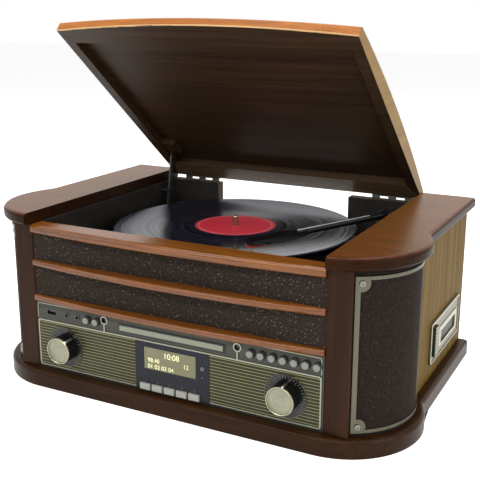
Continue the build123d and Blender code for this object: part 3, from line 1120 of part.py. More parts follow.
FLAP_Z = SLOT_HIGH - 0.2
FLAP_X = SIDE_X + 0.8
flap = block(FLAP_X - 1.0, FLAP_X + 1.0, SLOT_FRONT + 0.5, SLOT_REAR - 0.5, SLOT_LOW + 0.4, FLAP_Z)
flap += rod_y(FLAP_X, SLOT_FRONT + 0.5, SLOT_REAR - 0.5, FLAP_Z, 1.4)
flap += rod_y(FLAP_X, SLOT_FRONT - 1.5, SLOT_REAR + 1.5, FLAP_Z, 0.8)
for y_low, y_high in ((SLOT_FRONT - 1.8, SLOT_FRONT + 0.1), (SLOT_REAR - 0.1, SLOT_REAR + 1.8)):
    bezel -= rod_y(FLAP_X, y_low, y_high, FLAP_Z, 0.8 + RUNNING_GAP)
pieces["cassette_flap"] = flap

eject = block(SIDE_X - 9.0, bezel_out + 3.0, EJECT_FRONT, EJECT_REAR, EJECT_LOW, EJECT_HIGH)
eject = fillet(eject.edges().group_by(Axis.X)[-1], 1.0)
eject += block(
    SIDE_X - 3.0, SIDE_X - 0.4, EJECT_FRONT - 1.2, EJECT_REAR + 1.2, EJECT_LOW - 1.2, EJECT_HIGH + 1.2
)
RIB_COUNT = 9
rib_pitch = (EJECT_HIGH - EJECT_LOW - 6.0) / (RIB_COUNT - 1)
for index in range(RIB_COUNT):
    rib_z = EJECT_LOW + 3.0 + index * rib_pitch
    eject -= block(
        bezel_out + 2.2, bezel_out + 4.0, EJECT_FRONT - 1, EJECT_REAR + 1, rib_z - 0.7, rib_z + 0.7
    )
pieces["cassette_button"] = eject
bracket = block(
    panel_inner_x - 40.0, panel_inner_x - 10.0, SLOT_FRONT - 3.0, SLOT_REAR + 2.0,
    BOTTOM_BOARD_THICKNESS, SLOT_LOW - 5.0,
)
cassette_deck += bracket
pieces["cassette_deck"] = cassette_deck
pieces["cassette_bezel"] = bezel
right_side_panel -= cassette_deck
pieces["side_panels"] = group([mirrored(side_panel), right_side_panel])

# ---------------------------------------------------------------------------
# Power supply and the sockets on the back
# ---------------------------------------------------------------------------
TRANSFORMER_X = 32.6 - FRONT_HALF
TRANSFORMER_Y = REAR_Y - 62.5


def transformer_block(half_width, half_depth, z_low, z_high):
    """A block centred on the transformer."""
    return block(
        TRANSFORMER_X - half_width, TRANSFORMER_X + half_width,
        TRANSFORMER_Y - half_depth, TRANSFORMER_Y + half_depth, z_low, z_high,
    )


transformer = transformer_block(30.0, 25.0, BOTTOM_BOARD_THICKNESS, BOTTOM_BOARD_THICKNESS + 3.0)
transformer += transformer_block(22.0, 21.0, BOTTOM_BOARD_THICKNESS + 2.0, 50.0)
transformer += transformer_block(16.0, 27.0, 16.0, 42.0)
pieces["power_transformer"] = transformer

CONNECTOR_Z = 60.0
connectors = []
PHONO_X = (-82.0, -66.0, -49.0, -33.0)
plate = block(-95.0, -20.0, REAR_Y, REAR_Y + 1.5, CONNECTOR_Z - 13.0, CONNECTOR_Z + 13.0)
for x in PHONO_X:
    barrel = rod_y(x, REAR_Y - WALL_THICKNESS, REAR_Y + 9.0, CONNECTOR_Z, 4.2)
    plate += barrel
    rear_panel -= rod_y(x, REAR_Y - WALL_THICKNESS - 1, REAR_Y + 1, CONNECTOR_Z, 4.2)
for x in PHONO_X:
    plate -= rod_y(x, REAR_Y + 1.0, REAR_Y + 10.0, CONNECTOR_Z, 1.6)
    groove = rod_y(x, REAR_Y + 2.0, REAR_Y + 10.0, CONNECTOR_Z, 3.5)
    plate -= groove - rod_y(x, REAR_Y, REAR_Y + 11.0, CONNECTOR_Z, 2.4)
connectors.append(plate)
INLET_X = TRANSFORMER_X - 8.0
inlet = block(INLET_X - 15.0, INLET_X + 15.0, REAR_Y, REAR_Y + 2.0, CONNECTOR_Z - 11.0, CONNECTOR_Z + 11.0)
inlet_body = block(
    INLET_X - 11.0, INLET_X + 11.0, REAR_Y - 16.0, REAR_Y + 0.5, CONNECTOR_Z - 6.0, CONNECTOR_Z + 6.0
)
rear_panel -= inlet_body
inlet += inlet_body
inlet -= block(
    INLET_X - 8.5, INLET_X + 8.5, REAR_Y - 12.0, REAR_Y + 3.0, CONNECTOR_Z - 3.8, CONNECTOR_Z + 3.8
)
for offset in (-4.0, 4.0):
    inlet += rod_y(INLET_X + offset, REAR_Y - 13.0, REAR_Y - 2.0, CONNECTOR_Z, 1.2)
connectors.append(inlet)
pieces["rear_connectors"] = group(connectors)

# ---------------------------------------------------------------------------
# Wood screws: rear panel and bottom board
# ---------------------------------------------------------------------------
PANEL_SCREW = (3.0, 1.2, 1.5, 9.0)
BOARD_SCREW = (3.0, 1.2, 1.5, 3.0)
for side in (-1, 1):
    for height in (45.0, 110.0, 175.0):
        place = Pos(side * (panel_inner_x - 7.0), REAR_Y - 1.2, height) * Rot(-90, 0, 0)
        screws.append(place * cross_head_screw(*PANEL_SCREW))
        rear_panel -= place * screw_hole(*PANEL_SCREW)
    for y in (opening[2] + 20.0, 0.0, opening[3] - 20.0):
        place = Pos(side * (PLINTH_OPENING_X - 8.0), y, 1.4) * Rot(180, 0, 0)
        screws.append(place * cross_head_screw(*BOARD_SCREW))
        bottom_board -= place * screw_hole(*BOARD_SCREW)
pieces["fasteners"] = group(screws)
pieces["rear_panel"] = rear_panel
pieces["plinth"] = plinth
pieces["bottom_board"] = bottom_board
pieces["fascia"] = fascia
pieces["display_bezel"] = display_bezel

for name, shape in pieces.items():
    export_step(shape, os.path.join("parts", f"{name}.step"))
print(len(pieces), "pieces")
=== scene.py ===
"""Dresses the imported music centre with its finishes, printed dials, record, knobs and small trim.

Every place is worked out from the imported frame. Lengths are in metres, but the profiles of round
pieces and the sizes that they use are in millimetres. +Z is up and the front of the machine faces -Y.
"""

import json
import logging
import math
from dataclasses import dataclass
from enum import Enum
from typing import Callable, Iterable, Optional, Sequence

import bmesh
import bpy
from mathutils import Matrix, Vector

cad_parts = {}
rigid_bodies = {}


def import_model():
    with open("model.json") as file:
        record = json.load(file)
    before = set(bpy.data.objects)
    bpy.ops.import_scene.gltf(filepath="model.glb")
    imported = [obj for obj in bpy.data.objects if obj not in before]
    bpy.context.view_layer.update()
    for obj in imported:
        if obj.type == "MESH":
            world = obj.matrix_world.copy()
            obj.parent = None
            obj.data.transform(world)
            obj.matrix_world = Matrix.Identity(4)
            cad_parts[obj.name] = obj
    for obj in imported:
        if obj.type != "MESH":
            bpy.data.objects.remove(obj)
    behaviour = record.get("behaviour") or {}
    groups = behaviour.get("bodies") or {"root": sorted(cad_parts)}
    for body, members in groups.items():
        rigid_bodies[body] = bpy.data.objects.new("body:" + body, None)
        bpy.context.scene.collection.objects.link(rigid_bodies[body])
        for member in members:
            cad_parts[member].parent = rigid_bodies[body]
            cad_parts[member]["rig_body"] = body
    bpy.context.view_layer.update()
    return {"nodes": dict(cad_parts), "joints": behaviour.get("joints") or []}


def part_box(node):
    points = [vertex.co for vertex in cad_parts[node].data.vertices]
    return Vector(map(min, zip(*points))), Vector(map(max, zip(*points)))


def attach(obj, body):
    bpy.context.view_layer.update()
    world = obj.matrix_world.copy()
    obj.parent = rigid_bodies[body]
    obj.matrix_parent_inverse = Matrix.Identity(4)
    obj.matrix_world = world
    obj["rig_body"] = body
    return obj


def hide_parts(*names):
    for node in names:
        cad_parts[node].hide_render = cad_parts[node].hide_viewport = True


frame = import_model()

LOG = logging.getLogger("music_centre")
MM = 0.001
DIGIT_DEPTH = 0.04 * MM
WELD = 1e-6
SEAM = 1e-7
FLAT_ANGLE = math.radians(0.5)
EDGE_ANGLE = math.radians(34.0)
FACE_TURN = Matrix.Rotation(math.radians(90.0), 4, "X")
EVEN = Vector((1.0, 1.0, 1.0))
ORIGIN = Vector((0.0, 0.0, 0.0))
Colour = tuple[float, float, float, float]
Node = bpy.types.Node
Socket = bpy.types.NodeSocket
Shape = bmesh.types.BMesh


def tone(red: int, green: int, blue: int) -> Colour:
    """Turn a screen colour into the linear colour that a shader takes.

    Args:
        red: Red from 0 to 255.
        green: Green from 0 to 255.
        blue: Blue from 0 to 255.

    Returns:
        The linear colour with full alpha.
    """
    parts = []
    for value in (red, green, blue):
        share = value / 255.0
        parts.append(share / 12.92 if share <= 0.04045 else ((share + 0.055) / 1.055) ** 2.4)
    return (parts[0], parts[1], parts[2], 1.0)


class Along(Enum):
    """The row axis that a grain or a brushed line runs along."""

    X = 0
    Y = 1
    Z = 2

    def stretch(self, along: float, across: float) -> Vector:
        """Give the texture scale for a pattern drawn out along this axis.

        Args:
            along: Features per metre along the axis.
            across: Features per metre across it.

        Returns:
            The scale on the three axes.
        """
        scale = [across, across, across]
        scale[self.value] = along
        return Vector(scale)


# Shader building blocks
GROUPS: dict[str, bpy.types.NodeTree] = {}


class Tree:
    """A thin wrapper that adds and links shader nodes."""

    def __init__(self, tree: bpy.types.NodeTree) -> None:
        """Keep the node tree that is built up."""
        self.tree = tree

    def fill(self, node: Node, inputs: dict) -> None:
        """Give inputs of a node a value, or a link where an output socket is given.

        Args:
            node: The node.
            inputs: Values or output sockets by input name or number.
        """
        for key, value in inputs.items():
            if isinstance(value, Socket):
                self.tree.links.new(value, node.inputs[key])
            else:
                node.inputs[key].default_value = value

    def add(self, kind: str, inputs: Optional[dict] = None, **settings: object) -> Node:
        """Add a node, set its options and fill its inputs.

        Args:
            kind: The node's type name.
            inputs: Values or output sockets by input name or number.
            **settings: Options of the node itself.

        Returns:
            The new node.
        """
        node = self.tree.nodes.new(kind)
        for name, value in settings.items():
            setattr(node, name, value)
        self.fill(node, inputs or {})
        return node

    def shared(self, name: str, **inputs: object) -> bpy.types.bpy_prop_collection:
        """Add a shared pattern by its group's name and return its outputs."""
        return self.add("ShaderNodeGroup", inputs, node_tree=GROUPS[name]).outputs

    def math(self, operation: str, first: object, second: object = 0.0) -> Socket:
        """Join two values by one operation and return the result's socket."""
        return self.add("ShaderNodeMath", {0: first, 1: second}, operation=operation).outputs[0]

    def vector_math(self, operation: str, first: object, second: object) -> Socket:
        """Join two vectors by one operation and return the result's socket."""
        return self.add("ShaderNodeVectorMath", {0: first, 1: second}, operation=operation).outputs[0]

    def blend(self, share: object, first: object, second: object) -> Socket:
        """Mix two colours and return the result's socket."""
        return self.add("ShaderNodeMix", {0: share, 6: first, 7: second}, data_type="RGBA").outputs[2]

    def span(
        self, value: object, low: float, high: float, new_low: float = 0.0, new_high: float = 1.0
    ) -> Socket:
        """Map a value from one range to another, held inside it, and return the socket."""
        ends = {0: value, 1: low, 2: high, 3: new_low, 4: new_high}
        return self.add("ShaderNodeMapRange", ends, clamp=True).outputs[0]

    def noise(self, vector: object, scale: float, detail: float, rough: float = 0.5) -> Socket:
        """Add a noise pattern and return its value's socket."""
        values = {"Vector": vector, "Scale": scale, "Detail": detail, "Roughness": rough}
        return self.add("ShaderNodeTexNoise", values).outputs[0]

    def place(self, scale: Vector = EVEN, centre: Vector = ORIGIN) -> Socket:
        """Give Object coordinates about a centre, scaled for a pattern."""
        coordinates = self.add("ShaderNodeTexCoord").outputs["Object"]
        return self.vector_math("MULTIPLY", self.vector_math("SUBTRACT", coordinates, centre), scale)

    def radius(self, centre: Vector, axis: Along) -> Socket:
        """Give the distance from an axis through a centre."""
        where = self.place(axis.stretch(0.0, 1.0), centre)
        return self.add("ShaderNodeVectorMath", {0: where}, operation="LENGTH").outputs[1]

    def bands(self, radius: object, count: float, detail: float, rough: float, half: float) -> Socket:
        """Give uneven rings that run from 0 to 1.

        Args:
            radius: The distance from the axis.
            count: Rings in a metre.
            detail: The noise's detail.
            rough: The noise's roughness.
            half: Half the share of the noise's range that is kept.

        Returns:
            The socket of the rings.
        """
        track = self.add("ShaderNodeCombineXYZ", {0: self.math("MULTIPLY", radius, count)})
        return self.span(self.noise(track.outputs[0], 1.0, detail, rough), 0.5 - half, 0.5 + half)

    def tangent(self, axis: Along) -> Socket:
        """Give the direction round an axis."""
        return self.add("ShaderNodeTangent", direction_type="RADIAL", axis=axis.name).outputs[0]

    def bump(self, height: object, strength: float, depth: float) -> Socket:
        """Turn a height into a normal."""
        inputs = {"Height": height, "Strength": strength, "Distance": depth}
        return self.add("ShaderNodeBump", inputs).outputs[0]


def group(name: str, sockets_in: Sequence[tuple[str, str]], sockets_out: Sequence[tuple[str, str]]) -> tuple:
    """Start a shader node group with named inputs and outputs.

    Args:
        name: The group's name.
        sockets_in: Name and type of each input.
        sockets_out: Name and type of each output.

    Returns:
        The tree wrapper, the sockets of the group's inputs and its output node.
    """
    tree = bpy.data.node_groups.new(name, "ShaderNodeTree")
    for direction, sockets in (("INPUT", sockets_in), ("OUTPUT", sockets_out)):
        for label, kind in sockets:
            tree.interface.new_socket(label, in_out=direction, socket_type=kind)
    GROUPS[name] = tree
    build = Tree(tree)
    return build, build.add("NodeGroupInput").outputs, build.add("NodeGroupOutput")


VECTOR = "NodeSocketVector"
COLOUR = "NodeSocketColor"
VALUE = "NodeSocketFloat"


def make_grain_group() -> None:
    """Build the wood grain that every timber finish uses."""
    build, given, out = group(
        "Wood Grain",
        (("Vector", VECTOR), ("Dark", COLOUR), ("Light", COLOUR), ("Pores", VALUE), ("Gloss", VALUE)),
        (("Colour", COLOUR), ("Height", VALUE), ("Roughness", VALUE)),
    )
    vector = given["Vector"]
    figure = build.noise(vector, 0.35, 3.0)
    shift = build.math("MULTIPLY", figure, 5.0)
    bend = build.add("ShaderNodeCombineXYZ", {0: shift, 1: shift, 2: shift}).outputs[0]
    fibre = build.noise(build.vector_math("ADD", vector, bend), 1.0, 7.0, 0.62)
    streak = build.span(fibre, 0.32, 0.68)
    body = build.span(figure, 0.3, 0.7)
    share = build.math("ADD", build.math("MULTIPLY", streak, 0.68), build.math("MULTIPLY", body, 0.32))
    colour = build.blend(share, given["Dark"], given["Light"])
    pore = build.span(build.noise(vector, 7.0, 3.0, 0.7), 0.57, 0.66)
    depth = build.math("MULTIPLY", pore, given["Pores"])
    colour = build.blend(depth, colour, tone(26, 13, 8))
    height = build.math("SUBTRACT", build.math("MULTIPLY", streak, 0.35), depth)
    rough = build.math("ADD", given["Gloss"], build.math("MULTIPLY", fibre, 0.10))
    build.fill(out, {"Colour": colour, "Height": height, "Roughness": rough})


def make_cloth_group() -> None:
    """Build the flecked weave of the loudspeaker cloth."""
    build, given, out = group(
        "Flecked Cloth",
        (("Vector", VECTOR), ("Ground", COLOUR), ("Thread", COLOUR), ("Fleck", COLOUR), ("Density", VALUE)),
        (("Colour", COLOUR), ("Height", VALUE)),
    )
    vector = given["Vector"]
    threads = build.add("ShaderNodeTexVoronoi", {"Vector": vector, "Scale": 1100.0})
    mottle = build.noise(vector, 420.0, 3.0, 0.7)
    ground = build.blend(build.span(mottle, 0.42, 0.66), given["Ground"], given["Thread"])
    cells = build.add("ShaderNodeTexVoronoi", {"Vector": vector, "Scale": 290.0, "Randomness": 1.0})
    chosen = build.add("ShaderNodeSeparateColor", {0: cells.outputs["Color"]})
    gate = build.math("LESS_THAN", chosen.outputs[0], given["Density"])
    near = build.span(cells.outputs["Distance"], 0.14, 0.30, 1.0, 0.0)
    fleck = build.math("MULTIPLY", gate, near)
    strength = build.math("MULTIPLY", fleck, build.span(chosen.outputs[1], 0.0, 1.0, 0.25, 0.95))
    colour = build.blend(strength, ground, given["Fleck"])
    height = build.math("ADD", build.math("SUBTRACT", 1.0, threads.outputs["Distance"]), strength)
    build.fill(out, {"Colour": colour, "Height": height})


def make_surface_group() -> None:
    """Build the fine unevenness that plastics, metals and rubber share."""
    build, given, out = group(
        "Fine Surface",
        (("Vector", VECTOR), ("Colour", COLOUR), ("Spread", VALUE), ("Gloss", VALUE), ("Haze", VALUE)),
        (("Colour", COLOUR), ("Roughness", VALUE), ("Height", VALUE)),
    )
    vector = given["Vector"]
    fine = build.noise(vector, 1.0, 5.0, 0.6)
    wide = build.noise(vector, 0.06, 3.0)
    both = build.math("ADD", build.math("MULTIPLY", fine, 0.5), build.math("MULTIPLY", wide, 0.5))
    level = build.span(both, 0.3, 0.7)
    share = build.math("MULTIPLY", level, given["Spread"])
    paler = build.blend(0.35, given["Colour"], tone(205, 200, 190))
    colour = build.blend(share, given["Colour"], paler)
    rough = build.math("ADD", given["Gloss"], build.math("MULTIPLY", level, given["Haze"]))
    build.fill(out, {"Colour": colour, "Roughness": rough, "Height": fine})


# Finishes
MADE: dict[str, bpy.types.Material] = {}


@dataclass(frozen=True)
class Finish:
    """What every finish shares: its name and how it is made once."""

    name: str

    def paint(self, build: Tree, shader: Node) -> None:
        """Build the nodes that feed the material's Principled node.

        Args:
            build: The material's tree.
            shader: The Principled node.
        """
        raise NotImplementedError

    def material(self) -> bpy.types.Material:
        """Return the material, built on its first use."""
        if self.name not in MADE:
            material = bpy.data.materials.new(self.name)
            material.use_nodes = True
            self.paint(Tree(material.node_tree), material.node_tree.nodes["Principled BSDF"])
            MADE[self.name] = material
        return MADE[self.name]


@dataclass(frozen=True)
class Timber(Finish):
    """Lacquered wood with a grain along one axis."""

    dark: Colour
    light: Colour
    along: Along
    pores: float = 0.35
    gloss: float = 0.3
    specular: float = 0.3
    glow: float = 0.0
    glow_tint: Colour = (1.0, 0.56, 0.16, 1.0)
    grain_length: float = 9.0
    grain_width: float = 190.0

    def paint(self, build: Tree, shader: Node) -> None:
        """Build the wood."""
        vector = build.place(self.along.stretch(self.grain_length, self.grain_width))
        grain = build.shared(
            "Wood Grain", Vector=vector, Dark=self.dark, Light=self.light, Pores=self.pores, Gloss=self.gloss
        )
        build.fill(shader, {
            "Base Color": grain["Colour"],
            "Roughness": grain["Roughness"],
            "Specular IOR Level": self.specular,
            "Sheen Weight": self.glow,
            "Sheen Roughness": 0.4,
            "Sheen Tint": self.glow_tint,
            "Normal": build.bump(grain["Height"], 0.22, 0.0002),
        })


@dataclass(frozen=True)
class SpeakerCloth(Finish):
    """Woven cloth with pale flecks."""

    ground: Colour
    thread: Colour
    fleck: Colour
    density: float

    def paint(self, build: Tree, shader: Node) -> None:
        """Build the cloth."""
        cloth = build.shared(
            "Flecked Cloth", Vector=build.place(), Ground=self.ground, Thread=self.thread, Fleck=self.fleck,
            Density=self.density,
        )
        build.fill(shader, {
            "Base Color": cloth["Colour"],
            "Roughness": 0.92,
            "Specular IOR Level": 0.15,
            "Normal": build.bump(cloth["Height"], 0.5, 0.0004),
        })


@dataclass(frozen=True)
class Plain(Finish):
    """Metal, plastic, rubber or paint, with fine unevenness or brushed lines."""

    colour: Colour
    gloss: float = 0.4
    metallic: float = 0.0
    spread: float = 0.25
    haze: float = 0.12
    scale: float = 500.0
    relief: float = 0.08
    brushed: Optional[Along] = None
    specular: float = 0.4

    def paint(self, build: Tree, shader: Node) -> None:
        """Build the surface."""
        scale = self.scale * EVEN
        if self.brushed is not None:
            scale = self.brushed.stretch(self.scale / 60.0, self.scale * 3.0)
        surface = build.shared(
            "Fine Surface", Vector=build.place(scale), Colour=self.colour, Spread=self.spread,
            Gloss=self.gloss, Haze=self.haze,
        )
        build.fill(shader, {
            "Base Color": surface["Colour"],
            "Roughness": surface["Roughness"],
            "Metallic": self.metallic,
            "Specular IOR Level": self.specular,
            "Normal": build.bump(surface["Height"], self.relief, 0.0001),
        })


@dataclass(frozen=True)
class StripedPlate(Finish):
    """A dark metal plate printed with level lines."""

    ground: Colour
    line: Colour
    pitch: float
    share: float
    start: float

    def paint(self, build: Tree, shader: Node) -> None:
        """Build the plate."""
        where = build.place(EVEN, Vector((0.0, 0.0, self.start)))
        height = build.add("ShaderNodeSeparateXYZ", {0: where}).outputs[2]
        turn = build.math("FRACT", build.math("DIVIDE", height, self.pitch))
        away = build.math("ABSOLUTE", build.math("SUBTRACT", turn, 0.5))
        on_line = build.span(away, self.share / 2 - 0.05, self.share / 2 + 0.05, 1.0, 0.0)
        faint = build.math("MULTIPLY", build.span(away, 0.42, 0.48), 0.22)
        worn = build.span(build.noise(build.place(), 90.0, 3.0), 0.2, 0.5, 0.75, 1.0)
        strength = build.math("MULTIPLY", build.math("MAXIMUM", on_line, faint), worn)
        build.fill(shader, {
            "Base Color": build.blend(strength, self.ground, self.line),
            "Roughness": 0.34,
            "Metallic": 0.2,
            "Specular IOR Level": 0.3,
            "Normal": build.bump(on_line, 0.3, 0.0001),
        })


@dataclass(frozen=True)
class Rings(Finish):
    """A round surface cut or turned with fine rings about an upright or a level axis."""

    colour: Colour
    centre: Vector
    axis: Along
    gloss: float
    metallic: float
    pitch: float
    relief: float
    bands: float = 0.0

    def paint(self, build: Tree, shader: Node) -> None:
        """Build the ringed surface."""
        radius = build.radius(self.centre, self.axis)
        groove = build.math("SINE", build.math("MULTIPLY", radius, 2.0 * math.pi / self.pitch))
        tracks = build.bands(radius, count=260.0, detail=2.0, rough=0.5, half=0.12)
        paler = build.blend(0.5, self.colour, tone(120, 122, 130))
        build.fill(shader, {
            "Base Color": build.blend(build.math("MULTIPLY", tracks, self.bands), self.colour, paler),
            "Roughness": build.math("ADD", build.math("MULTIPLY", tracks, 0.12), self.gloss),
            "Metallic": self.metallic,
            "Anisotropic": 0.6,
            "Tangent": build.tangent(self.axis),
            "Normal": build.bump(groove, self.relief, 0.0002),
        })


@dataclass(frozen=True)
class Vinyl(Finish):
    """Pressed vinyl with fine grooves about an upright axis, and a blue-grey painted sheen mixed into its
    colour in bands.
    """

    colour: Colour
    silver: Colour
    centre: Vector

    def paint(self, build: Tree, shader: Node) -> None:
        """Build the grooved vinyl."""
        radius = build.radius(self.centre, Along.Z)
        wide = build.bands(radius, count=170.0, detail=2.0, rough=0.6, half=0.15)
        fine = build.bands(radius, count=1500.0, detail=4.0, rough=0.6, half=0.15)
        both = build.math("MULTIPLY", build.math("ADD", wide, fine), 0.5)
        build.fill(shader, {
            # Painted sheen: blue-grey mixed into the black vinyl along the groove bands.
            "Base Color": build.blend(build.math("POWER", both, 2.0), self.colour, self.silver),
            "Roughness": build.span(both, 0.2, 0.8, 0.05, 0.2),
            "Specular IOR Level": 0.4,
            "Anisotropic": 0.3,
            "Specular Tint": (0.78, 0.84, 1.0, 1.0),
            "Tangent": build.tangent(Along.Z),
            "Normal": build.bump(fine, 0.16, 0.0001),
        })


@dataclass(frozen=True)
class Lit(Finish):
    """A surface that gives off a little light of its own colour."""

    colour: Colour
    strength: float

    def paint(self, build: Tree, shader: Node) -> None:
        """Build the lit surface."""
        glow = build.span(build.noise(build.place(), 60.0, 2.0), 0.3, 0.7, 0.0, 0.35)
        dimmer = build.blend(0.5, self.colour, tone(70, 70, 50))
        colour = build.blend(glow, self.colour, dimmer)
        build.fill(shader, {
            "Base Color": colour,
            "Emission Color": colour,
            "Emission Strength": self.strength,
            "Roughness": 0.25,
        })


@dataclass(frozen=True)
class Smoked(Finish):
    """Smoked clear plastic."""

    colour: Colour

    def paint(self, build: Tree, shader: Node) -> None:
        """Build the window."""
        cloud = build.span(build.noise(build.place(), 120.0, 3.0), 0.3, 0.7, 0.0, 0.2)
        build.fill(shader, {
            "Base Color": build.blend(cloud, self.colour, tone(120, 124, 100)),
            "Roughness": 0.35,
            "Specular IOR Level": 0.1,
            "Transmission Weight": 0.12,
        })


make_grain_group()
make_cloth_group()
make_surface_group()

WALNUT = Timber(
    "walnut_board", tone(22, 7, 0), tone(102, 40, 6), Along.X, pores=0.9, gloss=0.2, specular=0.14, glow=0.3,
    grain_length=34.0, grain_width=300.0,
)
# The board edges: the top boards' walnut painted darker, as painted shade where the light from above misses
# them.
BOARD_PAINTED_SHADE = Timber("walnut_board_painted_shade", tone(28, 13, 3), tone(56, 29, 9), Along.X, gloss=0.3, specular=0.06)
LID_WOOD = Timber(
    "walnut_lid", tone(142, 78, 28), tone(190, 118, 50), Along.X, gloss=0.34, specular=0.2, glow=0.15,
    grain_width=260.0,
)
LID_SIDE = Timber(
    "walnut_lid_side", tone(112, 84, 40), tone(158, 128, 72), Along.Y, pores=0.12, gloss=0.36, specular=0.2,
    glow=0.2,
)
# A pale walnut for the lid's lower front fillet: a painted highlight along the edge.
LID_EDGE_HIGHLIGHT = Timber("walnut_lid_edge_highlight", tone(206, 160, 104), tone(230, 194, 142), Along.X, pores=0.1)
# The lid's underside and recess walls: the lid's walnut painted dark as shade under the open lid.
LID_UNDER_SHADE = Timber(
    "walnut_lid_underside_shade", tone(29, 20, 12), tone(72, 52, 33), Along.X, gloss=0.42, specular=0.2,
    grain_length=5.0, grain_width=230.0,
)
LID_RAIL = Timber("walnut_lid_rail", tone(88, 66, 44), tone(132, 106, 76), Along.X, gloss=0.36, specular=0.2)
PLINTH_WOOD = Timber("dark_plinth", tone(31, 16, 4), tone(62, 36, 12), Along.X, gloss=0.28, specular=0.1)
POST_WOOD = Timber("dark_post", tone(35, 18, 8), tone(63, 38, 20), Along.Z, gloss=0.32, specular=0.1)
RAIL_WOOD = Timber(
    "amber_rail", tone(84, 40, 8), tone(146, 84, 22), Along.X, gloss=0.16, specular=0.5, glow=0.1
)
VENEER = Timber(
    "side_veneer", tone(32, 21, 8), tone(148, 117, 56), Along.Z, pores=0.8, gloss=0.5, specular=0.05,
    grain_length=1.6, grain_width=190.0,
)
FIBREBOARD = Plain("rear_fibreboard", tone(78, 58, 42), gloss=0.75, relief=0.3, spread=0.5, specular=0.2)
STRIP_CLOTH = SpeakerCloth(
    "flecked_strip_cloth", tone(40, 33, 28), tone(64, 55, 48), tone(136, 122, 104), density=0.5
)
CORNER_CLOTH = SpeakerCloth(
    "flecked_corner_cloth", tone(30, 23, 19), tone(47, 38, 32), tone(80, 69, 58), density=0.28
)
NICKEL = Plain("satin_trim", tone(84, 82, 68), gloss=0.3, metallic=0.9, brushed=Along.Z)
RIM_NICKEL = Plain("bright_trim_edge", tone(150, 146, 124), gloss=0.2, metallic=1.0)
BRIGHT = Plain("bright_screw", tone(200, 198, 190), gloss=0.16, metallic=1.0)
SCREW = Plain("trim_screw", tone(124, 122, 112), gloss=0.22, metallic=1.0)
FASCIA = Plain("gunmetal_plate", tone(46, 47, 42), gloss=0.34, metallic=0.75, brushed=Along.X, haze=0.1)
BORDER = Plain("fascia_border", tone(140, 140, 124), gloss=0.22, metallic=0.9)
SLOT_METAL = Plain("slot_surround", tone(40, 42, 39), gloss=0.3, metallic=0.6)
BUTTON = Plain("button_silver", tone(118, 122, 115), gloss=0.24, metallic=0.7)
STEEL = Plain("plain_steel", tone(120, 120, 114), gloss=0.3, metallic=1.0)
BRASS = Plain("plain_brass", tone(190, 152, 80), gloss=0.25, metallic=1.0)
DISPLAY = Plain("display_window", tone(26, 27, 38), gloss=0.2, spread=0.03, specular=0.2)
GREY_KEY = Plain("pale_key", tone(168, 169, 160), gloss=0.35, spread=0.1)
DRAWER = Plain("drawer_silver", tone(128, 132, 114), gloss=0.3, metallic=0.5, brushed=Along.X)
BLACK = Plain("satin_black", tone(20, 20, 22), gloss=0.42, spread=0.12, relief=0.15, specular=0.25)
GLOSS_BLACK = Plain("gloss_black", tone(12, 12, 14), gloss=0.14, spread=0.04, specular=0.4)
WELL = Plain("well_black", tone(24, 21, 19), gloss=0.5, spread=0.12, relief=0.3, specular=0.15)
RUBBER = Plain("black_rubber", tone(24, 24, 24), gloss=0.8, relief=0.35, specular=0.2)
DARK_METAL = Plain("dark_housing", tone(62, 62, 64), gloss=0.4, metallic=0.8)
BOARD_GREEN = Plain("solder_green", tone(24, 74, 40), gloss=0.4)
WHITE_PRINT = Plain("white_print", tone(196, 196, 186), gloss=0.5, spread=0.1)
LABEL_RED = Plain("label_paper", tone(226, 48, 70), gloss=0.5, spread=0.08, specular=0.3)
STYLUS_RED = Plain("stylus_red", tone(196, 52, 32), gloss=0.35, specular=0.3)
BEZEL_PLATE = Plain("bezel_plate", tone(104, 98, 78), gloss=0.3, metallic=0.6, brushed=Along.Y)
SMOKE = Smoked("smoked_window", tone(46, 54, 22))
PANEL_LIGHT = Lit("lit_panel", tone(120, 119, 86), strength=0.2)
# A pale grey strip along the arm's top: a painted highlight.
ARM_HIGHLIGHT_GREY = Plain("painted_arm_highlight", tone(206, 206, 204), gloss=0.3, spread=0.05)
TICK_PRINT = Plain("tick_print", tone(126, 126, 116), gloss=0.5, spread=0.1)
DIGIT_LIGHT = Lit("lit_digit", tone(240, 232, 180), strength=0.8)


# Making and placing pieces
JOINT_AT = {joint["name"]: Vector(joint["pos_m"]) for joint in frame["joints"] if joint.get("pos_m")}


def body_of(node: str) -> str:
    """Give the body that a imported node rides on."""
    return frame["nodes"][node]["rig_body"]


def finish_piece(
    name: str,
    shape: Shape,
    finishes: Sequence[Finish],
    body: str,
    smooth: float = 32.0,
) -> bpy.types.Object:
    """Turn a shape into a finished piece that rides on a body.

    Args:
        name: The piece's name.
        shape: The mesh in the row frame. It is used up.
        finishes: The finish of each material slot.
        body: The body that carries the piece.
        smooth: The angle in degrees above which an edge stays sharp.

    Returns:
        The new object.
    """
    mesh = bpy.data.meshes.new(name)
    shape.to_mesh(mesh)
    shape.free()
    for finish in finishes:
        mesh.materials.append(finish.material())
    mesh.polygons.foreach_set("use_smooth", [True] * len(mesh.polygons))
    mesh.set_sharp_from_angle(angle=math.radians(smooth))
    piece = bpy.data.objects.new(name, mesh)
    bpy.context.scene.collection.objects.link(piece)
    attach(piece, body)
    LOG.info("%s rides on %s", name, body)
    return piece


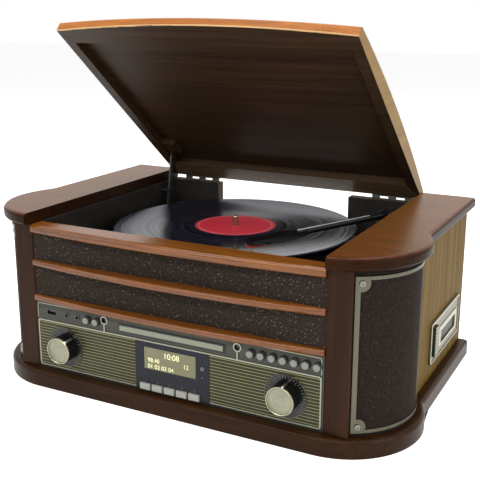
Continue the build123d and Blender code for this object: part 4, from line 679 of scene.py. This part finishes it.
def dressed(
    node: str,
    *finishes: Finish,
    edge: float = 0.0004,
    steps: int = 2,
    choose: Optional[Callable[[Vector, Vector], Finish]] = None,
) -> bpy.types.Object:
    """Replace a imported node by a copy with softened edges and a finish.

    Args:
        node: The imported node.
        *finishes: One finish, or several that choose picks from.
        edge: The width of the softened edge.
        steps: The segments of the softened edge.
        choose: Picks one of the finishes from a face's middle and normal.

    Returns:
        The new piece.
    """
    shape = bmesh.new()
    shape.from_mesh(frame["nodes"][node].data)
    bmesh.ops.remove_doubles(shape, verts=shape.verts, dist=WELD)
    if choose is not None:
        for face in shape.faces:
            face.material_index = finishes.index(choose(face.calc_center_median(), face.normal))
    bmesh.ops.dissolve_limit(
        shape, angle_limit=FLAT_ANGLE, verts=shape.verts, edges=shape.edges, delimit={"MATERIAL"}
    )
    piece = finish_piece(f"{node}_dressed", shape, finishes, body_of(node))
    if edge > 0.0:
        soften = piece.modifiers.new("softened edges", "BEVEL")
        soften.width = edge
        soften.segments = steps
        soften.limit_method = "ANGLE"
        soften.angle_limit = EDGE_ANGLE
        weigh = piece.modifiers.new("even shading", "WEIGHTED_NORMAL")
        weigh.keep_sharp = True
    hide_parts(node)
    return piece


def painted(node: str, finish: Finish) -> None:
    """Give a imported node, which keeps its own mesh, a finish."""
    mesh = frame["nodes"][node].data
    mesh.materials.clear()
    mesh.materials.append(finish.material())


def lathe(profile: Iterable[tuple[float, float]], centre: Vector, along: Along, steps: int) -> Shape:
    """Spin a profile into a round shape.

    Args:
        profile: Radius and place along the axis of each point, in millimetres. A profile that ends off
            the axis leaves the shape open there.
        centre: A point on the axis.
        along: The axis: Z, or Y with the place counted towards the front.
        steps: The segments of the full turn.

    Returns:
        The spun shape.
    """
    shape = bmesh.new()
    points = [shape.verts.new((radius * MM, 0.0, height * MM)) for radius, height in profile]
    edges = [shape.edges.new(pair) for pair in zip(points[:-1], points[1:])]
    bmesh.ops.spin(
        shape, geom=points + edges, cent=(0.0, 0.0, 0.0), axis=(0.0, 0.0, 1.0),
        angle=2.0 * math.pi, steps=steps, use_merge=True,
    )
    bmesh.ops.remove_doubles(shape, verts=shape.verts, dist=SEAM)
    bmesh.ops.recalc_face_normals(shape, faces=shape.faces)
    if along is Along.Y:
        bmesh.ops.transform(shape, matrix=FACE_TURN, verts=shape.verts)
    bmesh.ops.translate(shape, vec=centre, verts=shape.verts)
    return shape


def spun(
    name: str,
    profile: Iterable[tuple[float, float]],
    centre: Vector,
    finish: Finish,
    body: str,
    along: Along = Along.Y,
    steps: int = 96,
) -> bpy.types.Object:
    """Spin a profile in millimetres into a finished piece.

    Args:
        name: The piece's name.
        profile: Radius and place along the axis of each point.
        centre: A point on the axis.
        finish: The finish of the piece.
        body: The body that carries it.
        along: The axis.
        steps: The segments of the full turn.

    Returns:
        The new object.
    """
    return finish_piece(name, lathe(profile, centre, along, steps), (finish,), body)


def add_bar(shape: Shape, low: Vector, high: Vector, turn: Optional[Matrix] = None) -> None:
    """Add a bar between two corners to a shape, turned in place if a turn is given."""
    size = high - low
    matrix = Matrix.Translation((low + high) / 2) @ Matrix.Diagonal((size.x, size.y, size.z, 1.0))
    if turn is not None:
        matrix = turn @ matrix
    bmesh.ops.create_cube(shape, size=1.0, matrix=matrix)


def rounded(shape: Shape, width: float, steps: int) -> None:
    """Round every edge of a shape."""
    bmesh.ops.bevel(
        shape, geom=shape.edges[:], offset=width, segments=steps, profile=0.5, affect="EDGES", material=-1
    )


def about(point: Vector, angle: float, axis: str) -> Matrix:
    """Give a turn in degrees about an axis through a point."""
    turn = Matrix.Rotation(math.radians(angle), 4, axis)
    return Matrix.Translation(point) @ turn @ Matrix.Translation(-point)


def printed(name: str, text: str, size: float, left: float, low: float, front: float, finish: Finish) -> None:
    """Print plain digits on a front face.

    Args:
        name: The piece's name.
        text: The digits.
        size: The height of the type.
        left: The left edge.
        low: The base line's height.
        front: The face's place in depth.
        finish: The finish of the digits.
    """
    curve = bpy.data.curves.new(name, "FONT")
    curve.body = text
    curve.size = size
    curve.extrude = DIGIT_DEPTH
    holder = bpy.data.objects.new(name, curve)
    bpy.context.scene.collection.objects.link(holder)
    bpy.context.view_layer.update()
    flat = bpy.data.meshes.new_from_object(holder.evaluated_get(bpy.context.evaluated_depsgraph_get()))
    bpy.data.objects.remove(holder)
    shape = bmesh.new()
    shape.from_mesh(flat)
    bpy.data.meshes.remove(flat)
    bmesh.ops.transform(shape, matrix=FACE_TURN, verts=shape.verts)
    bmesh.ops.translate(shape, vec=Vector((left, front, low)), verts=shape.verts)
    finish_piece(name, shape, (finish,), "cabinet")


# Sub-assemblies
@dataclass
class Cabinet:
    """The wooden case: plinth, posts, boards, rails and panels."""

    board_edge: float = 1.6 * MM
    rail_edge: float = 0.8 * MM

    def build(self) -> None:
        """Dress the wooden pieces."""
        dressed("plinth", PLINTH_WOOD, edge=self.board_edge, steps=3)
        dressed("top_boards", WALNUT, BOARD_PAINTED_SHADE, edge=self.board_edge, steps=3, choose=self.board_finish)
        dressed("front_posts", POST_WOOD, edge=self.rail_edge)
        dressed("front_rails", RAIL_WOOD, edge=self.rail_edge, steps=3)
        dressed("side_panels", VENEER, POST_WOOD, choose=self.side_finish)
        dressed("rear_panel", FIBREBOARD)
        dressed("bottom_board", FIBREBOARD)
        dressed("rubber_feet", RUBBER)

    def board_finish(self, middle: Vector, normal: Vector) -> Finish:
        """Pick the walnut face for the top of a board, and for the rest the same walnut painted darker as
        shade.
        """
        return WALNUT if normal.z > 0.7 else BOARD_PAINTED_SHADE

    def side_finish(self, middle: Vector, normal: Vector) -> Finish:
        """Pick veneer for the outer face of a side and dark wood for the inside."""
        outwards = normal.x * middle.x
        return VENEER if outwards > 0.0 else POST_WOOD


@dataclass
class SpeakerCorners:
    """The rounded loudspeaker corners and the cloth strips between the rails."""

    def build(self) -> None:
        """Dress the cloth, the trims and the drivers."""
        dressed("speaker_grilles", CORNER_CLOTH)
        dressed("cloth_strips", STRIP_CLOTH, edge=0.0)
        dressed("grille_trims", NICKEL, edge=0.5 * MM, steps=3)
        dressed("fasteners", SCREW, edge=0.0)
        painted("speaker_drivers", DARK_METAL)


@dataclass
class Fascia:
    """The metal front plate with its drawer slot and controls."""

    gasket_width: float = 1.3 * MM
    gasket_stand: float = 0.05 * MM
    gasket_depth: float = 1.0 * MM
    border_height: float = 0.7 * MM
    slot_margin: float = 3.0 * MM
    keyhole_out: float = 17.0 * MM
    keyhole_up: float = 4.85 * MM
    keyhole_bore: float = 3.6 * MM
    collar_radii: tuple[float, float] = (4.5, 5.6)
    collar_places: tuple[float, float] = (-1.3, -0.4)
    collar_slope: float = 0.4
    buttons: tuple[tuple[str, int], ...] = (("left", 2), ("right", 7))

    def build(self) -> None:
        """Dress the plate and add its black details."""
        self.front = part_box("fascia")[0].y
        dressed(
            "fascia", FASCIA, BORDER, SLOT_METAL, GLOSS_BLACK, edge=0.2 * MM, choose=self.plate_finish
        )
        dressed("front_sockets", DARK_METAL, edge=0.15 * MM)
        for side, count in self.buttons:
            for number in range(1, count + 1):
                dressed(f"{side}_button_{number}", BUTTON, edge=0.0)
                self.collar(f"{side}_button_{number}")
        dressed("cd_tray", DRAWER, edge=0.3 * MM)
        painted("cd_mechanism", BLACK)
        painted("circuit_board", BOARD_GREEN)
        # Painted shade: a black frame over the gap round the drawer.
        self.gasket()

    def plate_finish(self, middle: Vector, normal: Vector) -> Finish:
        """Pick the dark surround of the drawer slot, the bright raised borders or the plain plate."""
        low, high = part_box("cd_tray")
        centre_z = (low.z + high.z) / 2 + self.keyhole_up
        if math.hypot(abs(middle.x) - high.x - self.keyhole_out, middle.z - centre_z) < self.keyhole_bore:
            return GLOSS_BLACK
        if middle.y > self.front + self.border_height:
            return FASCIA
        beside = low.x - self.slot_margin < middle.x < high.x + self.slot_margin
        level = low.z - self.slot_margin < middle.z < high.z + self.slot_margin
        return SLOT_METAL if beside and level else BORDER

    def collar(self, node: str) -> None:
        """Add the black ring that a round button stands in."""
        low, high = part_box(node)
        centre = Vector(((low.x + high.x) / 2, self.front, (low.z + high.z) / 2))
        inner, outer = self.collar_radii
        back, front = self.collar_places
        lip = outer - self.collar_slope
        ring = ((inner, back), (inner, front), (lip, front), (outer, back), (inner, back))
        spun(f"{node}_collar", ring, centre, GLOSS_BLACK, "cabinet", steps=40)

    def gasket(self) -> None:
        """Add a black frame round the drawer as painted shade in the gap about it."""
        low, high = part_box("cd_tray")
        front = self.front - self.gasket_stand
        shape = bmesh.new()
        tall = (low.z - self.gasket_width, low.z, high.z, high.z + self.gasket_width)
        wide = (low.x - self.gasket_width, low.x, high.x, high.x + self.gasket_width)
        back = front + self.gasket_depth
        for bottom, top in (tall[:2], tall[2:]):
            add_bar(shape, Vector((wide[0], front, bottom)), Vector((wide[3], back, top)))
        for left, right in (wide[:2], wide[2:]):
            add_bar(shape, Vector((left, front, tall[1])), Vector((right, back, tall[2])))
        finish_piece("drawer_gap_shade", shape, (GLOSS_BLACK,), "cabinet")


@dataclass
class Display:
    """The display window, its digits, marks and keys."""

    stand: float = 0.06 * MM
    key_count: int = 5
    number_size: float = 3.2 * MM
    number_shift: float = 0.8 * MM
    number_rise: float = 1.2 * MM
    rows: tuple[tuple[str, float, float, float], ...] = (
        ("10:08", 0.36, 0.38, 0.62),
        ("98.40", 0.27, 0.07, 0.34),
        ("12", 0.27, 0.76, 0.34),
        ("01 02 03 04", 0.27, 0.07, 0.06),
    )
    ring_drop: float = 12.2 * MM
    ring_radii: tuple[float, float] = (1.5, 1.9)
    dot_drop: float = 22.3 * MM
    dot_radius: float = 0.45
    print_height: float = 0.1

    def build(self) -> None:
        """Dress the display."""
        dressed("display_bezel", DISPLAY, edge=0.3 * MM)
        painted("lcd_glass", PANEL_LIGHT)
        for number in range(1, self.key_count + 1):
            dressed(f"display_key_{number}", GREY_KEY, edge=0.0)
        low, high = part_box("lcd_glass")
        size = high - low
        for row, (digits, tall, across, up) in enumerate(self.rows):
            printed(
                f"display_digits_{row + 1}", digits, tall * size.z, low.x + across * size.x,
                low.z + up * size.z, low.y - self.stand, DIGIT_LIGHT,
            )
        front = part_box("display_bezel")[0].y - self.stand
        for number in range(1, self.key_count + 1):
            key_low, key_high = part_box(f"display_key_{number}")
            left = (key_low.x + key_high.x) / 2 - self.number_shift
            printed(
                f"key_number_{number}", str(number), self.number_size, left,
                key_high.z + self.number_rise, front, TICK_PRINT,
            )
        self.marks(front, high)

    def marks(self, front: float, window: Vector) -> None:
        """Add the small ring and the dot beside the window."""
        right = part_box("display_bezel")[1].x
        column = (window.x + right) / 2
        ring = Vector((column, front, window.z - self.ring_drop))
        dot = Vector((column, front, window.z - self.dot_drop))
        inner, outer = self.ring_radii
        tall = self.print_height
        outline = ((outer, 0.0), (outer, tall), (inner, tall), (inner, 0.0), (outer, 0.0))
        spun("display_ring", outline, ring, WHITE_PRINT, "cabinet", steps=32)
        spot = ((0.0, tall), (self.dot_radius, tall), (self.dot_radius, 0.0))
        spun("display_dot", spot, dot, WHITE_PRINT, "cabinet", steps=16)


@dataclass
class Dial:
    """One striped dial with its ticks and its turned knob."""

    knob_node: str
    pointer: float
    dial_radius: float = 24.5
    ring_width: float = 0.9
    knob_radius: float = 16.0
    knob_gap: float = 0.8
    tick_count: int = 33
    tick_half: float = 0.2
    tick_lengths: tuple[float, float] = (3.6, 2.2)
    tick_margin: float = 2.0
    tick_sweep: float = 280.0
    flute_count: int = 64
    flute_depth: float = 0.35
    rim_width: float = 1.9

    def build(self) -> None:
        """Build the printed dial and the knob."""
        self.centre = JOINT_AT[f"{self.knob_node}_turn"]
        self.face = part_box(self.knob_node)[0].y
        self.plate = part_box("dial_plates")[0].y
        self.printing()
        self.knob()

    def printing(self) -> None:
        """Add the dial's black disc, metal ring and pale ticks."""
        middle = Vector((self.centre.x, self.plate, self.centre.z))
        radius = self.dial_radius
        inner = radius - self.ring_width
        disc = ((0.0, 0.12), (inner, 0.12), (inner, 0.0))
        spun(f"{self.knob_node}_dial", disc, middle, GLOSS_BLACK, "cabinet")
        ring = ((inner, 0.0), (inner, 0.4), (radius - 0.2, 0.5), (radius, 0.2), (radius, 0.0), (inner, 0.0))
        spun(f"{self.knob_node}_ring", ring, middle, NICKEL, "cabinet")
        shape = bmesh.new()
        outer = radius - self.tick_margin
        for index in range(self.tick_count):
            length = self.tick_lengths[0] if index % 4 == 0 else self.tick_lengths[1]
            low = middle + MM * Vector((-self.tick_half, -0.22, outer - length))
            high = middle + MM * Vector((self.tick_half, -0.1, outer))
            angle = self.tick_sweep * (index / (self.tick_count - 1) - 0.5)
            add_bar(shape, low, high, about(middle, angle, "Y"))
        finish_piece(f"{self.knob_node}_ticks", shape, (TICK_PRINT,), "cabinet")

    def knob(self) -> None:
        """Add the fluted skirt, the bright rim, the turned face and the pointer."""
        body = body_of(self.knob_node)
        front = Vector((self.centre.x, self.face, self.centre.z))
        self.skirt(body, front)
        radius = self.knob_radius
        inner = radius - self.rim_width
        rim = (
            (inner, -1.6), (inner, -0.4), (radius - 1.4, 0.0), (radius - 0.7, -0.1), (radius, -0.8),
            (radius, -2.4), (inner, -1.6),
        )
        spun(f"{self.knob_node}_rim", rim, front, RIM_NICKEL, body)
        turned = Rings(
            f"{self.knob_node}_turned", tone(142, 142, 120), front, Along.Y,
            gloss=0.26, metallic=1.0, pitch=0.5 * MM, relief=0.22, bands=0.3,
        )
        disc = ((0.0, -0.9), (radius - 2.4, -0.75), (radius - 1.7, -1.1))
        spun(f"{self.knob_node}_face", disc, front, turned, body)
        nub = bmesh.new()
        low = front + MM * Vector((radius - 1.6, 1.4, -1.5))
        high = front + MM * Vector((radius + 1.2, self.skirt_depth(), 1.5))
        add_bar(nub, low, high, about(front, -self.pointer, "Y"))
        rounded(nub, 0.6 * MM, 3)
        finish_piece(f"{self.knob_node}_pointer", nub, (BRIGHT,), body)

    def skirt_depth(self) -> float:
        """Give the skirt's depth in millimetres, which stops just short of the dial."""
        return (self.plate - self.face) / MM - self.knob_gap

    def skirt(self, body: str, front: Vector) -> None:
        """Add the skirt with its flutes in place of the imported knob."""
        radius = self.knob_radius
        depth = self.skirt_depth()
        shape = lathe(
            ((0.0, -1.2), (radius - 0.5, -1.2), (radius - 0.5, -depth), (0.0, -depth)),
            front, Along.Y, 2 * self.flute_count,
        )
        axis_line = Vector((self.centre.x, 0.0, self.centre.z))
        for vert in shape.verts:
            out = Vector((vert.co.x, 0.0, vert.co.z)) - axis_line
            if out.length > (radius - 1.0) * MM:
                turn = math.atan2(out.z, out.x)
                vert.co += out.normalized() * (self.flute_depth * MM * math.cos(self.flute_count * turn))
        piece = finish_piece(
            f"{self.knob_node}_skirt", shape, (GLOSS_BLACK,), body, smooth=50.0
        )
        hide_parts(self.knob_node)


@dataclass
class Turntable:
    """The well, platter, record and drive."""

    label_radius: float = 50.0

    def build(self) -> None:
        """Dress the turntable."""
        dressed("turntable_deck", WELL, edge=0.5 * MM)
        dressed("platter", BLACK, RIM_NICKEL, edge=0.4 * MM, choose=self.platter_finish)
        dressed("slip_mat", RUBBER, edge=0.0)
        painted("drive_motor", DARK_METAL)
        painted("drive_belt", RUBBER)
        painted("motor_pulley", BRASS)
        self.record()

    def platter_finish(self, middle: Vector, normal: Vector) -> Finish:
        """Pick bright metal for the spindle and black for the rest."""
        return RIM_NICKEL if middle.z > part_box("record")[1].z - 1.0 * MM else BLACK

    def record(self) -> None:
        """Build the grooved record and its paper label."""
        low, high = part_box("record")
        centre = Vector(((low.x + high.x) / 2, (low.y + high.y) / 2, high.z))
        radius = (high.x - low.x) / 2 / MM
        thick = (high.z - low.z) / MM
        edge = radius - 3.0
        dead = self.label_radius + 9.0
        profile = (
            (0.0, -thick), (radius - 0.6, -thick), (radius, -thick + 0.5), (radius, -0.4),
            (radius - 0.5, 0.0), (edge, 0.0), (edge - 0.8, -0.25), (dead, -0.25),
            (self.label_radius + 1.0, -0.05), (0.0, -0.05),
        )
        # The second colour is the painted blue-grey sheen of the grooves.
        vinyl = Vinyl("grooved_vinyl", tone(11, 11, 15), tone(56, 61, 84), centre)
        piece = spun("record_disc", profile, centre, vinyl, "platter", Along.Z, 192)
        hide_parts("record")
        label = ((0.0, 0.02), (self.label_radius, 0.02), (self.label_radius, -0.1))
        spun("record_label", label, centre, LABEL_RED, "platter", Along.Z, 128)
        inner = self.label_radius - 4.6
        outer = inner + 0.7
        ring = ((inner, 0.0), (inner, 0.07), (outer, 0.07), (outer, 0.0), (inner, 0.0))
        spun("record_label_ring", ring, centre, WHITE_PRINT, "platter", Along.Z, 128)


@dataclass
class Tonearm:
    """The pickup arm with its pivot, cartridge and levers."""

    heading: float = -115.0
    holder_height: float = 3.7 * MM
    strip_reach: tuple[float, float] = (31.0 * MM, 148.0 * MM)
    strip_half: float = 1.2 * MM
    strip_sink: float = 2.4 * MM
    strip_height: float = 0.9 * MM
    strip_round: float = 0.35 * MM

    def build(self) -> None:
        """Dress the arm."""
        dressed("tonearm_turret", GLOSS_BLACK)
        dressed("tonearm_yoke", BLACK)
        dressed("tonearm", GLOSS_BLACK, edge=0.5 * MM)
        self.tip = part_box("cartridge")[0].z
        dressed("cartridge", GLOSS_BLACK, STYLUS_RED, edge=0.2 * MM, choose=self.cartridge_finish)
        dressed("cue_lever", BLACK, edge=0.3 * MM)
        dressed("speed_lever", BLACK, edge=0.3 * MM)
        self.top_line()

    def cartridge_finish(self, middle: Vector, normal: Vector) -> Finish:
        """Pick red for the stylus holder and black for the cartridge above it."""
        return STYLUS_RED if middle.z < self.tip + self.holder_height else GLOSS_BLACK

    def top_line(self) -> None:
        """Add a pale strip along the top of the arm as a painted highlight line."""
        pivot = JOINT_AT["tonearm_lift"]
        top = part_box("tonearm")[1].z - self.strip_sink
        shape = bmesh.new()
        start, end = self.strip_reach
        low = Vector((pivot.x + start, pivot.y - self.strip_half, top))
        high = Vector((pivot.x + end, pivot.y + self.strip_half, top + self.strip_height))
        add_bar(shape, low, high, about(pivot, self.heading, "Z"))
        rounded(shape, self.strip_round, 2)
        finish_piece("tonearm_painted_highlight", shape, (ARM_HIGHLIGHT_GREY,), body_of("tonearm"))


@dataclass
class Lid:
    """The domed lid, its hinges and its stay."""

    recess_reach: float = 321.0 * MM
    rim: float = 12.8 * MM
    roof: float = 6.5 * MM
    rail_reach: float = 30.0 * MM
    rail_rise: float = 4.0 * MM
    margin: float = 0.6 * MM
    facing_up: float = 0.8
    facing_down: float = -0.93
    slanting: float = 0.15

    def build(self) -> None:
        """Dress the lid."""
        self.hinge = JOINT_AT["lid_hinge"]
        low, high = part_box("lid")
        self.ahead = Vector((0.0, low.y - self.hinge.y, high.z - self.hinge.z)).normalized()
        self.up = Vector((0.0, self.ahead.z, -self.ahead.y))
        self.half = high.x
        dressed(
            "lid", LID_WOOD, LID_UNDER_SHADE, LID_SIDE, LID_EDGE_HIGHLIGHT, LID_RAIL, WALNUT,
            edge=0.8 * MM, steps=3, choose=self.lid_finish,
        )
        dressed("lid_hinge_leaves", STEEL, edge=0.2 * MM)
        dressed("cabinet_hinges", STEEL, edge=0.2 * MM)
        dressed("lid_stay", DARK_METAL, edge=0.2 * MM)

    def lid_finish(self, middle: Vector, normal: Vector) -> Finish:
        """Pick the walnut top, the underside and recess painted dark as shade, its rail, a painted highlight
        on the lower front edge, and the finishes of the other edges.
        """
        facing = normal.dot(self.up)
        place_out = middle - self.hinge
        reach = place_out.dot(self.ahead)
        rise = place_out.dot(self.up)
        if facing > self.facing_up:
            return WALNUT
        # Painted shade: faces turned down, apart from the rail, get the dark walnut.
        if facing < self.facing_down:
            return LID_RAIL if reach < self.rail_reach and rise < self.rail_rise else LID_UNDER_SHADE
        # Painted shade: the recess walls get the dark walnut too.
        between = abs(middle.x) < self.half - self.rim + self.margin
        if reach < self.recess_reach and between and rise < self.roof:
            return LID_UNDER_SHADE
        # Painted highlight: the lower front fillet, facing down and ahead, gets the pale walnut.
        if facing < -self.slanting and normal.dot(self.ahead) > self.slanting:
            return LID_EDGE_HIGHLIGHT
        return LID_SIDE if abs(normal.x) > 0.7 else LID_WOOD


@dataclass
class CassetteDeck:
    """The cassette slot in the right side."""

    rim_height: float = 0.9 * MM
    rib_height: float = 0.5 * MM

    def build(self) -> None:
        """Dress the cassette slot."""
        self.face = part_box("cassette_bezel")[1].x
        dressed("cassette_bezel", BEZEL_PLATE, RIM_NICKEL, edge=0.4 * MM, steps=3, choose=self.bezel_finish)
        self.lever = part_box("cassette_button")[1].x
        dressed("cassette_button", SLOT_METAL, RIM_NICKEL, edge=0.15 * MM, choose=self.lever_finish)
        dressed("cassette_flap", SMOKE, edge=0.2 * MM)
        painted("cassette_deck", BLACK)

    def bezel_finish(self, middle: Vector, normal: Vector) -> Finish:
        """Pick the bright finish for the raised rims and the brushed one for the sunk plate."""
        return RIM_NICKEL if middle.x > self.face - self.rim_height else BEZEL_PLATE

    def lever_finish(self, middle: Vector, normal: Vector) -> Finish:
        """Pick the bright finish for the tops of the lever's ribs."""
        return RIM_NICKEL if middle.x > self.lever - self.rib_height else SLOT_METAL


@dataclass
class Rear:
    """What is inside or behind: the power supply and rear sockets."""

    def build(self) -> None:
        """Dress the rear."""
        painted("power_transformer", DARK_METAL)
        dressed("rear_connectors", BLACK, edge=0.2 * MM)


@dataclass
class Studio:
    """Floor, lights, world and camera."""

    target: Vector = Vector((-8.6, 50.0, 167.8)) * MM
    azimuth: float = 27.1
    elevation: float = 14.4
    roll: float = 0.2
    distance: float = 1096.9 * MM
    focal_pixels: float = 848.9
    picture: int = 480
    middle: tuple[float, float] = (247.9, 227.3)
    sensor: float = 36.0
    fill: float = 0.32
    floor_glow: float = 0.6
    lamps: tuple[tuple, ...] = (
        ("side_right", (1.7, -0.3, 0.9), (1.2, 1.2), 13.0),
        ("top_soft", (-0.1, 0.2, 1.9), (1.7, 1.7), 27.0),
        ("front_left", (-1.3, -1.7, 1.2), (1.3, 1.3), 8.0),
        ("front_strip", (0.1, -1.2, 1.15), (1.7, 0.12), 8.0),
    )

    def build(self) -> None:
        """Build the studio round the object."""
        self.floor()
        self.world()
        for name, at, size, power in self.lamps:
            self.lamp(name, at, size, power)
        self.camera()
        bpy.context.scene.view_settings.view_transform = "Standard"

    def seen(self, build: Tree) -> Socket:
        """Give 1 for rays from the eye and for those that a reflection or a clear part sends on."""
        rays = build.add("ShaderNodeLightPath").outputs
        seen = build.math("MAXIMUM", rays["Is Camera Ray"], rays["Is Glossy Ray"])
        return build.math("MAXIMUM", seen, rays["Is Transmission Ray"])

    def floor(self) -> None:
        """Lay the pale floor, which keeps the object's shadow."""
        shape = bmesh.new()
        bmesh.ops.create_grid(shape, x_segments=1, y_segments=1, size=8.0)
        mesh = bpy.data.meshes.new("floor")
        shape.to_mesh(mesh)
        shape.free()
        material = bpy.data.materials.new("pale_floor")
        material.use_nodes = True
        build = Tree(material.node_tree)
        build.fill(material.node_tree.nodes["Principled BSDF"], {
            "Base Color": (0.92, 0.92, 0.92, 1.0),
            "Roughness": 0.9,
            "Emission Color": (1.0, 1.0, 1.0, 1.0),
            "Emission Strength": build.math("MULTIPLY", self.seen(build), self.floor_glow),
        })
        mesh.materials.append(material)
        floor = bpy.data.objects.new("floor", mesh)
        bpy.context.scene.collection.objects.link(floor)

    def world(self) -> None:
        """Set a white background for the eye and for reflections, and soft light for the object."""
        world = bpy.data.worlds.new("studio")
        world.use_nodes = True
        bpy.context.scene.world = world
        build = Tree(world.node_tree)
        strength = build.span(self.seen(build), 0.0, 1.0, self.fill, 1.0)
        build.fill(
            world.node_tree.nodes["Background"], {"Color": (1.0, 1.0, 1.0, 1.0), "Strength": strength}
        )

    def lamp(
        self, name: str, at: tuple[float, float, float], size: tuple[float, float], power: float
    ) -> None:
        """Hang one soft area lamp aimed at the object."""
        light = bpy.data.lights.new(name, "AREA")
        light.shape = "RECTANGLE"
        light.size, light.size_y = size
        light.energy = power
        lamp = bpy.data.objects.new(name, light)
        lamp.location = at
        lamp.rotation_euler = (self.target - Vector(at)).to_track_quat("-Z", "Y").to_euler()
        bpy.context.scene.collection.objects.link(lamp)

    def camera(self) -> None:
        """Set the camera at the viewing angle."""
        turn = math.radians(self.azimuth)
        lift = math.radians(self.elevation)
        back = Vector((math.sin(turn) * math.cos(lift), -math.cos(turn) * math.cos(lift), math.sin(lift)))
        lens = bpy.data.cameras.new("camera")
        lens.sensor_width = self.sensor
        lens.lens = self.focal_pixels / self.picture * self.sensor
        lens.shift_x = (self.picture / 2 - self.middle[0]) / self.picture
        lens.shift_y = (self.middle[1] - self.picture / 2) / self.picture
        camera = bpy.data.objects.new("camera", lens)
        right = Vector((math.cos(turn), math.sin(turn), 0.0))
        up = back.cross(right)
        tilt = math.radians(self.roll)
        side = right * math.cos(tilt) + up * math.sin(tilt)
        top = -right * math.sin(tilt) + up * math.cos(tilt)
        basis = Matrix((side, top, back)).transposed().to_4x4()
        camera.matrix_world = Matrix.Translation(self.target + back * self.distance) @ basis
        bpy.context.scene.collection.objects.link(camera)
        bpy.context.scene.camera = camera


def main() -> None:
    """Build every sub-assembly in order."""
    logging.basicConfig(level=logging.INFO, format="%(message)s")
    low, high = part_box("dial_plates")
    stripes = StripedPlate(
        "level_lines", tone(27, 25, 28), tone(138, 136, 76), pitch=3.7 * MM, share=0.24, start=low.z
    )
    painted("dial_plates", stripes)
    assemblies = (
        Cabinet(), SpeakerCorners(), Fascia(), Display(), Dial("volume_knob", 50.0),
        Dial("tuning_knob", 80.0), Turntable(), Tonearm(), Lid(), CassetteDeck(), Rear(), Studio(),
    )
    for assembly in assemblies:
        LOG.info("building %s", type(assembly).__name__)
        assembly.build()


if __name__ == "__main__":
    main()
